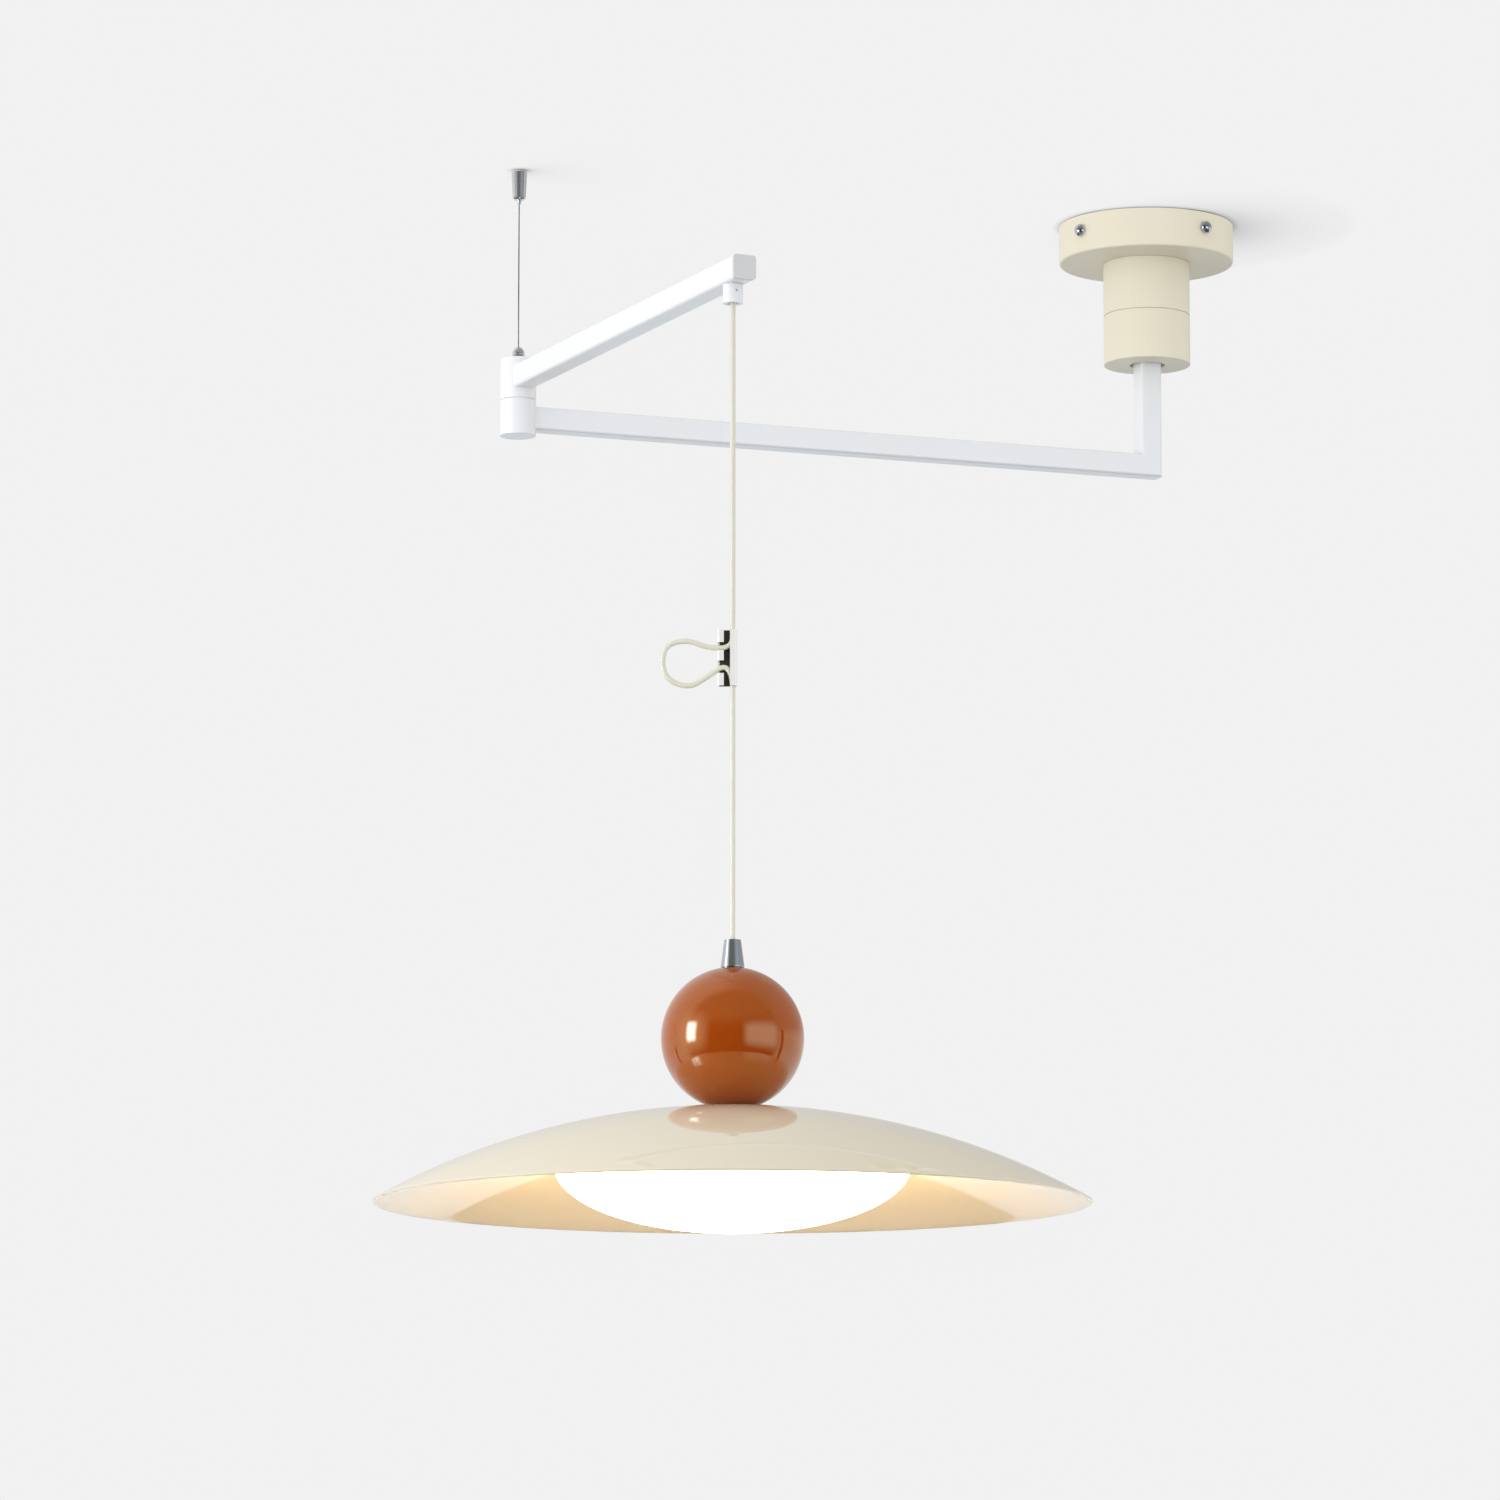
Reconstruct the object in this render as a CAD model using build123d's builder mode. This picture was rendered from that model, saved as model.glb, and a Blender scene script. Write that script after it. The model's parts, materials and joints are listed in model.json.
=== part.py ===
from build123d import *

import os
from math import cos, hypot, radians, sin, sqrt

# Pendant light on a two-part swing arm, in millimetres with +Z up.
# The ceiling is Z = 0 and the canopy's axis is X = Y = 0. The main arm runs along -X,
# the swing arm turns on top of its far end, and the pendant hangs from the swing arm.

# Fits
press_gap = 0.02
running_gap = 0.05
passing_gap = 0.3

# Ceiling bracket
bracket_thickness = 2
strap_width = 22
lug_drop = 16
bracket_gap = 0.5
cable_hole_diameter = 16
ceiling_hole_circle = 60
ceiling_hole_diameter = 5

# Canopy and its side screws
canopy_diameter = 110
canopy_height = 24
canopy_wall = 1.5
canopy_edge_radius = 1.4
access_diameter = 34
side_screw_count = 4
side_screw_angle = 18
side_screw_drop = 9.8
side_screw_diameter = 4
side_screw_length = 7
side_head_diameter = 7.8
side_head_height = 4.2

# Neck
neck_diameter = 54.5
upper_neck_height = 33.5
neck_seam = 0.35
lower_neck_height = 31.35
neck_wall = 2.5
neck_plate = 5
lower_neck_plate = 3
neck_edge_radius = 0.5
neck_cap_thickness = 3
riser_hole_diameter = 22.4
neck_screw_count = 3
neck_screw_circle = 42
neck_screw_diameter = 4
neck_screw_length = 6
neck_head_diameter = 7
neck_head_height = 2.6

# Swivel in the neck
spigot_diameter = 16
spigot_bore = 7
spigot_flange_diameter = 34
spigot_flange_thickness = 4
bush_wall = 2
bush_flange_diameter = 27
bush_flange_thickness = 1.5
thrust_washer_diameter = 53
spring_washer_thickness = 1
spring_washer_diameter = 25
lock_nut_flats = 24
lock_nut_height = 8
thread_overrun = 2

# Arms
tube_side = 14
tube_wall = 1.2
tube_corner_radius = 1.9
main_arm_drop = 154.5
main_arm_length = 420
swing_arm_rise = 24.5
swing_arm_length = 318
swing_arm_overhang = 16.5
elbow_angle = 86.5
end_plate = 2
end_plug_depth = 5

# Elbow
barrel_diameter = 22
barrel_margin = 4
barrel_head = 5.2
barrel_bore = 15
barrel_floor = 3
barrel_edge_radius = 0.5
lower_barrel_height = 22.1
barrel_seam = 0.3
pivot_plug_height = 5
pivot_diameter = 10
pivot_bore = 5
pivot_tip_diameter = 5
pivot_plate = 4
elbow_washer_diameter = 21
elbow_cap_diameter = 18
elbow_cap_thickness = 2.5
elbow_nut_flats = 12.5
elbow_nut_height = 4

# Steel wire, its grip and its ceiling anchor
wire_diameter = 0.8
wire_grip_diameter = 7.8
wire_grip_height = 7.7
wire_seat_depth = 2.5
anchor_top_diameter = 9.6
anchor_tip_diameter = 8
anchor_height = 18
anchor_bevel = 0.9
anchor_thread_diameter = 5
anchor_thread_depth = 8
ferrule_diameter = 3.6
ferrule_height = 3

# Cord and the socket that holds it
cord_diameter = 3
cord_gap = 0.2
cord_drop = 363.3
lead_bend = 5
socket_diameter = 11.4
socket_length = 11
socket_edge_radius = 0.4
socket_spigot_diameter = 7
socket_nut_flats = 10
socket_nut_height = 2.5
socket_mouth_diameter = 7.2
sway_depth = 2.5
sway_step = 10
sway_gap = 0.45
lock_screw_diameter = 3
lock_screw_drop = 4

# Cord clip and the spare cord looped in it
clip_drop = 203.5
clip_height = 32
clip_width = 11
clip_depth = 5.6
clip_sheet = 0.8
clip_slot_width = 3.5
clip_slot_offset = 1.5
clip_corner_radius = 1.2
upper_notch_height = 4.6
upper_notch_rise = 6.3
lower_notch_height = 7.2
lower_notch_drop = 5.4
liner_thickness = 0.5
loop_heading = 159
loop_reach = 38.6
loop_radius = 11.6
loop_bend = 4
loop_upper_leg = (5.2, 10.7)
loop_lower_leg = (-0.4, -26.4)
cord_lead_out = 1

# Pendant
cord_grip_height = 16
cord_grip_top_diameter = 9.4
cord_grip_base_diameter = 13.6
cord_grip_edge_radius = 0.8
cord_grip_thread = 8
cord_insertion = 5
ball_diameter = 80
ball_wall = 1.5
ball_seat_diameter = 19.5
ball_top_land = 0.4
stem_diameter = 10
stem_bore = 6
shade_diameter = 400
shade_depth = 52.5
shade_wall = 1
shade_rim_radius = 0.4
spacer_diameter = 18

# Lamp inside the shade
diffuser_diameter = 198
diffuser_depth = 36.5
diffuser_wall = 2
diffuser_shoulder = 11
diffuser_collar = 7
equator_above_rim = 19.9
pan_thickness = 1.2
pan_flange = 1.5
pan_gap = 0.1
pan_rim_height = 7.5
pan_nut_flats = 17
pan_nut_height = 6
board_thickness = 1.6
board_margin = 6.7
board_inner_diameter = 58
inner_ring_count = 12
inner_ring_inset = 32
outer_ring_count = 18
outer_ring_inset = 12
led_diameter = 7
led_height = 2.2
cover_diameter = 54
cover_height = 13
cover_wall = 1.5
diffuser_screw_count = 3
diffuser_screw_diameter = 3
diffuser_screw_length = 4.5
diffuser_head_diameter = 5
diffuser_head_height = 2
diffuser_head_margin = 1.5

# Wiring box
terminal_length = 24
terminal_width = 15
terminal_height = 12
terminal_offset = 28
terminal_ways = 3
terminal_hole_diameter = 3.6
terminal_screw_diameter = 3

# Heights of the main faces
canopy_floor = -canopy_height
upper_neck_bottom = canopy_floor - upper_neck_height
lower_neck_top = upper_neck_bottom - neck_seam
lower_neck_bottom = lower_neck_top - lower_neck_height
spigot_flange_top = lower_neck_top - lower_neck_plate
riser_top = spigot_flange_top - spigot_flange_thickness
bush_top = upper_neck_bottom + neck_plate + bush_flange_thickness
spring_washer_bottom = bush_top + running_gap
lock_nut_bottom = spring_washer_bottom + spring_washer_thickness
spigot_top = lock_nut_bottom + lock_nut_height + thread_overrun
main_arm_axis = -main_arm_drop
swing_arm_axis = main_arm_axis + swing_arm_rise
lower_barrel_bottom = main_arm_axis - tube_side / 2 - barrel_margin
lower_barrel_top = lower_barrel_bottom + lower_barrel_height
upper_barrel_bottom = lower_barrel_top + barrel_seam
upper_barrel_top = swing_arm_axis + tube_side / 2 + barrel_head
elbow_nut_bottom = upper_barrel_bottom + pivot_plate + running_gap + spring_washer_thickness
wire_grip_bottom = upper_barrel_top + passing_gap
wire_grip_top = wire_grip_bottom + wire_grip_height
ferrule_bottom = -anchor_height - ferrule_height
tube_floor = tube_side / 2 - tube_wall
socket_top = swing_arm_axis - tube_side / 2
socket_bottom = socket_top - socket_length
sway_point = socket_bottom + sway_depth
second_sway_point = sway_point - sway_step
clip_centre = socket_bottom - clip_drop
clip_top = clip_centre + clip_height / 2
clip_bottom = clip_centre - clip_height / 2
grip_top = socket_bottom - cord_drop
grip_bottom = grip_top - cord_grip_height

# Plan positions
swing_heading = -elbow_angle
arm_way = (cos(radians(swing_heading)), sin(radians(swing_heading)))
canopy_point = (0, 0)
elbow_point = (-main_arm_length, 0)
hang_point = (
    elbow_point[0] + swing_arm_length * arm_way[0],
    elbow_point[1] + swing_arm_length * arm_way[1],
)


# A level plane on a plan position
def level(height, point=canopy_point):
    return Plane(origin=(point[0], point[1], height))


# An upright plane for a turned profile: local x is the radius, local y is the height
def upright(point=canopy_point):
    return Plane(origin=(point[0], point[1], 0), x_dir=(1, 0, 0), z_dir=(0, -1, 0))


def upright_axis(point=canopy_point):
    return Axis((point[0], point[1], 0), (0, 0, 1))


# An upright plane turned to a heading: local x runs outwards, local y is above the height
def spoke(angle, height, point=canopy_point):
    way = (cos(radians(angle)), sin(radians(angle)), 0)
    return Plane(origin=(*point, height), x_dir=way, z_dir=(way[1], -way[0], 0))


def spoke_axis(angle, height, point=canopy_point):
    way = (cos(radians(angle)), sin(radians(angle)), 0)
    return Axis((*point, height), way)


# A plane square to a heading, some way out from the axis
def facing(angle, radius, height, point=canopy_point):
    way = (cos(radians(angle)), sin(radians(angle)))
    spot = (point[0] + radius * way[0], point[1] + radius * way[1], height)
    return Plane(origin=spot, x_dir=(-way[1], way[0], 0), z_dir=(way[0], way[1], 0))


def evenly(count, start):
    return [start + 360 * index / count for index in range(count)]


# Height of a circle about the axis at a given radius
def circle_height(centre, circle_radius, radius):
    return centre + sqrt(circle_radius**2 - radius**2)


def save(piece, name):
    piece.part.label = name
    os.makedirs("parts", exist_ok=True)
    export_step(piece.part, f"parts/{name}.step")


# Ceiling bracket: crossed straps with four turned-down lugs for the side screws
canopy_radius = canopy_diameter / 2
bracket_reach = canopy_radius - canopy_wall - bracket_gap
side_angles = evenly(side_screw_count, side_screw_angle)
with BuildPart() as mounting_bracket:
    with BuildSketch(Plane.XY):
        with PolarLocations(0, 2, start_angle=side_screw_angle, angular_range=180):
            Rectangle(2 * bracket_reach, strap_width)
        Circle(bracket_reach, mode=Mode.INTERSECT)
        Circle(cable_hole_diameter / 2, mode=Mode.SUBTRACT)
        with PolarLocations(ceiling_hole_circle / 2, 2, start_angle=side_screw_angle):
            Circle(ceiling_hole_diameter / 2, mode=Mode.SUBTRACT)
    extrude(amount=-bracket_thickness)
    with BuildSketch(level(-bracket_thickness)):
        with PolarLocations(0, 2, start_angle=side_screw_angle, angular_range=180):
            Rectangle(2 * bracket_reach, strap_width)
        Circle(bracket_reach, mode=Mode.INTERSECT)
        Circle(bracket_reach - bracket_thickness, mode=Mode.SUBTRACT)
    extrude(amount=bracket_thickness - lug_drop)
    for angle in side_angles:
        with BuildSketch(facing(angle, bracket_reach - 2 * bracket_thickness, -side_screw_drop)):
            Circle(side_screw_diameter / 2 + running_gap)
        extrude(amount=3 * bracket_thickness, mode=Mode.SUBTRACT)
save(mounting_bracket, "mounting_bracket")

# Canopy: a spun cup with its open end on the ceiling
neck_screw_angles = evenly(neck_screw_count, side_screw_angle + 45)
with BuildPart() as canopy_cup:
    with BuildSketch(upright()) as wall:
        with BuildLine():
            Polyline(
                (access_diameter / 2, canopy_floor),
                (canopy_radius, canopy_floor),
                (canopy_radius, 0),
                (canopy_radius - canopy_wall, 0),
                (canopy_radius - canopy_wall, canopy_floor + canopy_wall),
                (access_diameter / 2, canopy_floor + canopy_wall),
                close=True,
            )
        make_face()
        lower_corner = wall.vertices().group_by(Axis.Z)[0].sort_by(Axis.X)[-1]
        fillet(lower_corner, canopy_edge_radius)
    revolve(axis=Axis.Z)
    for angle in side_angles:
        with BuildSketch(facing(angle, canopy_radius - 3 * canopy_wall, -side_screw_drop)):
            Circle(side_screw_diameter / 2 + passing_gap)
        extrude(amount=4 * canopy_wall, mode=Mode.SUBTRACT)
    with BuildSketch(level(canopy_floor)):
        with PolarLocations(neck_screw_circle / 2, neck_screw_count, start_angle=neck_screw_angles[0]):
            Circle(neck_screw_diameter / 2 + passing_gap)
    extrude(amount=canopy_wall, mode=Mode.SUBTRACT)
save(canopy_cup, "canopy_cup")

# Side screws: domed heads, shanks into the bracket's lugs
with BuildPart() as canopy_screws:
    for angle in side_angles:
        with BuildSketch(spoke(angle, -side_screw_drop)):
            with BuildLine():
                head_seat = canopy_radius + press_gap
                shoulder = (head_seat + side_head_height / 4, side_head_diameter / 2)
                crown = (head_seat + side_head_height, 0)
                Polyline(
                    crown,
                    (head_seat - side_screw_length, 0),
                    (head_seat - side_screw_length, side_screw_diameter / 2),
                    (head_seat, side_screw_diameter / 2),
                    (head_seat, side_head_diameter / 2),
                    shoulder,
                )
                EllipticalCenterArc(
                    (shoulder[0], 0),
                    crown[0] - shoulder[0],
                    shoulder[1],
                    start_angle=0,
                    arc_size=90,
                )
            make_face()
        revolve(axis=spoke_axis(angle, -side_screw_drop))
save(canopy_screws, "canopy_screws")

# Upper neck: a turned housing under the canopy that carries the swivel's bush
neck_radius = neck_diameter / 2
bush_radius = spigot_diameter / 2 + running_gap + bush_wall
with BuildPart() as neck_upper:
    with BuildSketch(upright()) as housing:
        with BuildLine():
            Polyline(
                (bush_radius + press_gap, upper_neck_bottom),
                (neck_radius, upper_neck_bottom),
                (neck_radius, canopy_floor),
                (access_diameter / 2, canopy_floor),
                (access_diameter / 2, canopy_floor - neck_plate),
                (neck_radius - neck_wall, canopy_floor - neck_plate),
                (neck_radius - neck_wall, upper_neck_bottom + neck_plate),
                (bush_radius + press_gap, upper_neck_bottom + neck_plate),
                close=True,
            )
        make_face()
        rim = housing.vertices().sort_by(Axis.X)[-2:]
        fillet(rim, neck_edge_radius)
    revolve(axis=Axis.Z)
    with BuildSketch(level(canopy_floor)):
        with PolarLocations(neck_screw_circle / 2, neck_screw_count, start_angle=neck_screw_angles[0]):
            Circle(neck_screw_diameter / 2 + press_gap)
    extrude(amount=-neck_plate, mode=Mode.SUBTRACT)
save(neck_upper, "neck_upper")

# Screws through the canopy's floor into the upper neck
neck_head_seat = canopy_floor + canopy_wall
with BuildPart() as neck_screws:
    with BuildSketch(level(neck_head_seat)):
        with PolarLocations(neck_screw_circle / 2, neck_screw_count, start_angle=neck_screw_angles[0]):
            Circle(neck_screw_diameter / 2)
    extrude(amount=-neck_screw_length)
    with BuildSketch(level(neck_head_seat)):
        with PolarLocations(neck_screw_circle / 2, neck_screw_count, start_angle=neck_screw_angles[0]):
            Circle(neck_head_diameter / 2)
    extrude(amount=neck_head_height)
    with BuildSketch(level(neck_head_seat + neck_head_height)):
        with PolarLocations(neck_screw_circle / 2, neck_screw_count, start_angle=neck_screw_angles[0]):
            Rectangle(neck_head_diameter, neck_head_diameter / 7)
    extrude(amount=-neck_head_height / 2, mode=Mode.SUBTRACT)
save(neck_screws, "neck_screws")

# Flanged bush pressed into the upper neck
with BuildPart() as swivel_bush:
    with BuildSketch(level(upper_neck_bottom)):
        Circle(bush_radius)
        Circle(spigot_diameter / 2 + running_gap, mode=Mode.SUBTRACT)
    extrude(amount=neck_plate)
    with BuildSketch(level(upper_neck_bottom + neck_plate)):
        Circle(bush_flange_diameter / 2)
        Circle(spigot_diameter / 2 + running_gap, mode=Mode.SUBTRACT)
    extrude(amount=bush_flange_thickness)
save(swivel_bush, "swivel_bush")

# Terminal block on the underside of the bracket
terminal_angle = side_screw_angle + 90
terminal_plane = Plane(
    origin=(0, 0, -bracket_thickness),
    x_dir=(cos(radians(terminal_angle)), sin(radians(terminal_angle)), 0),
    z_dir=(0, 0, 1),
)
terminal_pitch = terminal_length / terminal_ways
terminal_level = -bracket_thickness - terminal_height / 2
with BuildPart() as terminal_block:
    with BuildSketch(terminal_plane):
        with Locations((terminal_offset, 0)):
            RectangleRounded(terminal_width, terminal_length, 1)
    extrude(amount=-terminal_height)
    with BuildSketch(facing(terminal_angle, terminal_offset - terminal_width, terminal_level)):
        with GridLocations(terminal_pitch, 1, terminal_ways, 1):
            Circle(terminal_hole_diameter / 2)
    extrude(amount=2 * terminal_width, mode=Mode.SUBTRACT)
    with BuildSketch(terminal_plane.offset(-terminal_height)):
        with Locations((terminal_offset, 0)):
            with GridLocations(terminal_width / 2, terminal_pitch, 2, terminal_ways):
                Circle(terminal_screw_diameter / 2)
    extrude(amount=terminal_height / 2, mode=Mode.SUBTRACT)
save(terminal_block, "terminal_block")

# Supply lead from the terminal block into the neck
lead_radius = cord_diameter / 2
terminal_face = terminal_offset - terminal_width / 2
with BuildPart() as supply_lead:
    with BuildLine(spoke(terminal_angle, 0)) as supply_path:
        FilletPolyline(
            (terminal_face, terminal_level),
            (0, terminal_level),
            (0, spigot_top + passing_gap),
            radius=2 * lead_bend,
        )
    with BuildSketch(facing(terminal_angle, terminal_face, terminal_level)):
        Circle(lead_radius)
    sweep(path=supply_path.line)
save(supply_lead, "supply_lead")

# Lower neck: the turning half, closed below by a cap that the riser passes through
with BuildPart() as neck_lower:
    with BuildSketch(upright()) as sleeve:
        with BuildLine():
            Polyline(
                (spigot_diameter / 2 + press_gap, lower_neck_top),
                (neck_radius, lower_neck_top),
                (neck_radius, lower_neck_bottom),
                (neck_radius - neck_wall, lower_neck_bottom),
                (neck_radius - neck_wall, spigot_flange_top),
                (spigot_diameter / 2 + press_gap, spigot_flange_top),
                close=True,
            )
        make_face()
        rim = sleeve.vertices().sort_by(Axis.X)[-2:]
        fillet(rim, neck_edge_radius)
    revolve(axis=Axis.Z)
save(neck_lower, "neck_lower")

with BuildPart() as neck_cap:
    with BuildSketch(level(lower_neck_bottom)):
        Circle(neck_radius - neck_wall - press_gap)
        Circle(riser_hole_diameter / 2, mode=Mode.SUBTRACT)
    extrude(amount=neck_cap_thickness)
save(neck_cap, "neck_cap")

# Hollow spigot: its flange is welded to the riser, its top turns in the bush
with BuildPart() as arm_spigot:
    with BuildSketch(level(riser_top)):
        Circle(spigot_flange_diameter / 2)
    extrude(amount=spigot_flange_thickness)
    with BuildSketch(level(spigot_flange_top)):
        Circle(spigot_diameter / 2)
    extrude(amount=spigot_top - spigot_flange_top)
    with BuildSketch(level(riser_top)):
        Circle(spigot_bore / 2)
    extrude(amount=spigot_top - riser_top, mode=Mode.SUBTRACT)
save(arm_spigot, "arm_spigot")

with BuildPart() as thrust_washer:
    with BuildSketch(level(lower_neck_top)):
        Circle(thrust_washer_diameter / 2)
        Circle(bush_radius + passing_gap, mode=Mode.SUBTRACT)
    extrude(amount=neck_seam - running_gap)
save(thrust_washer, "thrust_washer")

with BuildPart() as spring_washer:
    with BuildSketch(level(spring_washer_bottom)):
        Circle(spring_washer_diameter / 2)
        Circle(spigot_diameter / 2 + running_gap, mode=Mode.SUBTRACT)
    extrude(amount=spring_washer_thickness)
save(spring_washer, "spring_washer")

with BuildPart() as lock_nut:
    with BuildSketch(level(lock_nut_bottom)):
        RegularPolygon(lock_nut_flats / 2, 6, major_radius=False)
        Circle(spigot_diameter / 2 + press_gap, mode=Mode.SUBTRACT)
    extrude(amount=lock_nut_height)
save(lock_nut, "lock_nut")

# Riser and main arm: square tube, mitred and welded at the corner
mitre = Plane(origin=(0, 0, main_arm_axis), x_dir=(0, 1, 0), z_dir=(1, 0, 1))
tube_inside = tube_side - 2 * tube_wall
tube_inner_radius = max(tube_corner_radius - tube_wall, 0.2)
with BuildPart() as riser_tube:
    with BuildSketch(level(main_arm_axis - tube_side)):
        RectangleRounded(tube_side, tube_side, tube_corner_radius)
        RectangleRounded(tube_inside, tube_inside, tube_inner_radius, mode=Mode.SUBTRACT)
    extrude(amount=riser_top - main_arm_axis + tube_side)
    split(bisect_by=mitre, keep=Keep.TOP)
save(riser_tube, "riser_tube")

barrel_radius = barrel_diameter / 2
arm_section = Plane(origin=(tube_side, 0, main_arm_axis), x_dir=(0, 1, 0), z_dir=(-1, 0, 0))
with BuildPart() as main_arm_tube:
    with BuildSketch(arm_section):
        RectangleRounded(tube_side, tube_side, tube_corner_radius)
        RectangleRounded(tube_inside, tube_inside, tube_inner_radius, mode=Mode.SUBTRACT)
    extrude(amount=main_arm_length + tube_side)
    split(bisect_by=mitre, keep=Keep.BOTTOM)
    with BuildSketch(level(lower_barrel_bottom, elbow_point)):
        Circle(barrel_radius)
    extrude(amount=lower_barrel_height, mode=Mode.SUBTRACT)
save(main_arm_tube, "main_arm_tube")

# Lower barrel of the elbow: closed below, open to the arm for the lead
lead_floor = main_arm_axis - tube_floor + lead_radius + passing_gap
lower_window_radius = main_arm_axis - lead_floor + lead_radius + cord_gap
with BuildPart() as elbow_barrel_lower:
    with BuildSketch(level(lower_barrel_bottom, elbow_point)):
        Circle(barrel_radius)
    extrude(amount=lower_barrel_height)
    fillet(elbow_barrel_lower.edges().filter_by(GeomType.CIRCLE), barrel_edge_radius)
    with BuildSketch(level(lower_barrel_bottom + barrel_floor, elbow_point)):
        Circle(barrel_bore / 2)
    extrude(amount=lower_barrel_height, mode=Mode.SUBTRACT)
    with BuildSketch(facing(0, 0, main_arm_axis, elbow_point)):
        Circle(lower_window_radius)
    extrude(amount=barrel_diameter, mode=Mode.SUBTRACT)
save(elbow_barrel_lower, "elbow_barrel_lower")

# Hollow pivot: pressed into the lower barrel, its tip carries the wire grip
pivot_plug_bottom = lower_barrel_top - pivot_plug_height
pivot_shoulder = upper_barrel_top - elbow_cap_thickness - passing_gap
pivot_window_radius = pivot_bore / 2 - cord_gap
pivot_tip_top = wire_grip_bottom + wire_grip_height / 2
with BuildPart() as elbow_pivot:
    with BuildSketch(level(pivot_plug_bottom, elbow_point)):
        Circle(barrel_bore / 2 - press_gap)
    extrude(amount=pivot_plug_height)
    with BuildSketch(level(lower_barrel_top, elbow_point)):
        Circle(pivot_diameter / 2)
    extrude(amount=pivot_shoulder - lower_barrel_top)
    with BuildSketch(level(pivot_shoulder, elbow_point)):
        Circle(pivot_tip_diameter / 2)
    extrude(amount=pivot_tip_top - pivot_shoulder)
    with BuildSketch(level(pivot_plug_bottom, elbow_point)):
        Circle(pivot_bore / 2)
    extrude(amount=swing_arm_axis + pivot_bore - pivot_plug_bottom, mode=Mode.SUBTRACT)
    with BuildSketch(facing(swing_heading, 0, swing_arm_axis, elbow_point)):
        Circle(pivot_window_radius)
    extrude(amount=pivot_diameter, mode=Mode.SUBTRACT)
save(elbow_pivot, "elbow_pivot")

with BuildPart() as elbow_washer:
    with BuildSketch(level(lower_barrel_top, elbow_point)):
        Circle(elbow_washer_diameter / 2)
        Circle(pivot_diameter / 2 + running_gap, mode=Mode.SUBTRACT)
    extrude(amount=barrel_seam - running_gap)
save(elbow_washer, "elbow_washer")

with BuildPart() as elbow_spring:
    with BuildSketch(level(elbow_nut_bottom - spring_washer_thickness, elbow_point)):
        Circle(elbow_nut_flats / 2)
        Circle(pivot_diameter / 2 + running_gap, mode=Mode.SUBTRACT)
    extrude(amount=spring_washer_thickness)
save(elbow_spring, "elbow_spring")

with BuildPart() as elbow_nut:
    with BuildSketch(level(elbow_nut_bottom, elbow_point)):
        RegularPolygon(elbow_nut_flats / 2, 6, major_radius=False)
        Circle(pivot_diameter / 2 + press_gap, mode=Mode.SUBTRACT)
    extrude(amount=elbow_nut_height)
save(elbow_nut, "elbow_nut")

# Lead through the riser and the main arm, up into the hollow pivot
with BuildPart() as main_arm_lead:
    with BuildLine(Plane.XZ) as main_lead_path:
        FilletPolyline(
            (0, spigot_top - passing_gap),
            (0, lead_floor),
            (elbow_point[0], lead_floor),
            (elbow_point[0], swing_arm_axis),
            radius=lead_bend,
        )
    with BuildSketch(level(spigot_top - passing_gap)):
        Circle(lead_radius)
    sweep(path=main_lead_path.line)
save(main_arm_lead, "main_arm_lead")

# Bullet-shaped grip on the pivot's tip, the steel wire and the anchor on the ceiling
grip_dome_radius = 0.47 * wire_grip_diameter
grip_flank = 0.35 * wire_grip_height
wire_seat_radius = wire_diameter / 2 + press_gap
wire_foot = wire_grip_top - wire_seat_depth
dome_foot = wire_grip_bottom + grip_flank
dome_rise = wire_grip_height - grip_flank
dome_top = dome_foot + dome_rise * sqrt(1 - (wire_seat_radius / grip_dome_radius) ** 2)
dome_waist = sin(radians(45))
with BuildPart() as wire_grip:
    with BuildSketch(upright(elbow_point)):
        with BuildLine():
            Polyline(
                (wire_seat_radius, dome_top),
                (wire_seat_radius, wire_foot),
                (0, wire_foot),
                (0, pivot_tip_top),
                (pivot_tip_diameter / 2 + press_gap, pivot_tip_top),
                (pivot_tip_diameter / 2 + press_gap, wire_grip_bottom),
                (wire_grip_diameter / 2, wire_grip_bottom),
                (grip_dome_radius, dome_foot),
            )
            ThreePointArc(
                (grip_dome_radius, dome_foot),
                (grip_dome_radius * dome_waist, dome_foot + dome_rise * dome_waist),
                (wire_seat_radius, dome_top),
            )
        make_face()
    revolve(axis=upright_axis(elbow_point))
save(wire_grip, "wire_grip")

wire_head = -anchor_height + wire_seat_depth
with BuildPart() as steel_wire:
    with BuildSketch(level(wire_foot, elbow_point)):
        Circle(wire_diameter / 2)
    extrude(amount=wire_head - wire_foot)
save(steel_wire, "steel_wire")

with BuildPart() as ceiling_anchor:
    with BuildSketch(upright(elbow_point)):
        with BuildLine():
            Polyline(
                (anchor_thread_diameter / 2, 0),
                (anchor_top_diameter / 2 - anchor_bevel, 0),
                (anchor_top_diameter / 2, -anchor_bevel),
                (anchor_tip_diameter / 2, anchor_bevel - anchor_height),
                (anchor_tip_diameter / 2 - anchor_bevel, -anchor_height),
                (wire_seat_radius, -anchor_height),
                (wire_seat_radius, wire_head),
                (0, wire_head),
                (0, -anchor_thread_depth),
                (anchor_thread_diameter / 2, -anchor_thread_depth),
                close=True,
            )
        make_face()
    revolve(axis=upright_axis(elbow_point))
save(ceiling_anchor, "ceiling_anchor")

with BuildPart() as anchor_ferrule:
    with BuildSketch(upright(elbow_point)):
        with BuildLine():
            Polyline(
                (wire_seat_radius, -anchor_height),
                (ferrule_diameter / 2, -anchor_height),
                (wire_diameter, ferrule_bottom),
                (wire_seat_radius, ferrule_bottom),
                close=True,
            )
        make_face()
    revolve(axis=upright_axis(elbow_point))
save(anchor_ferrule, "anchor_ferrule")

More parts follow.
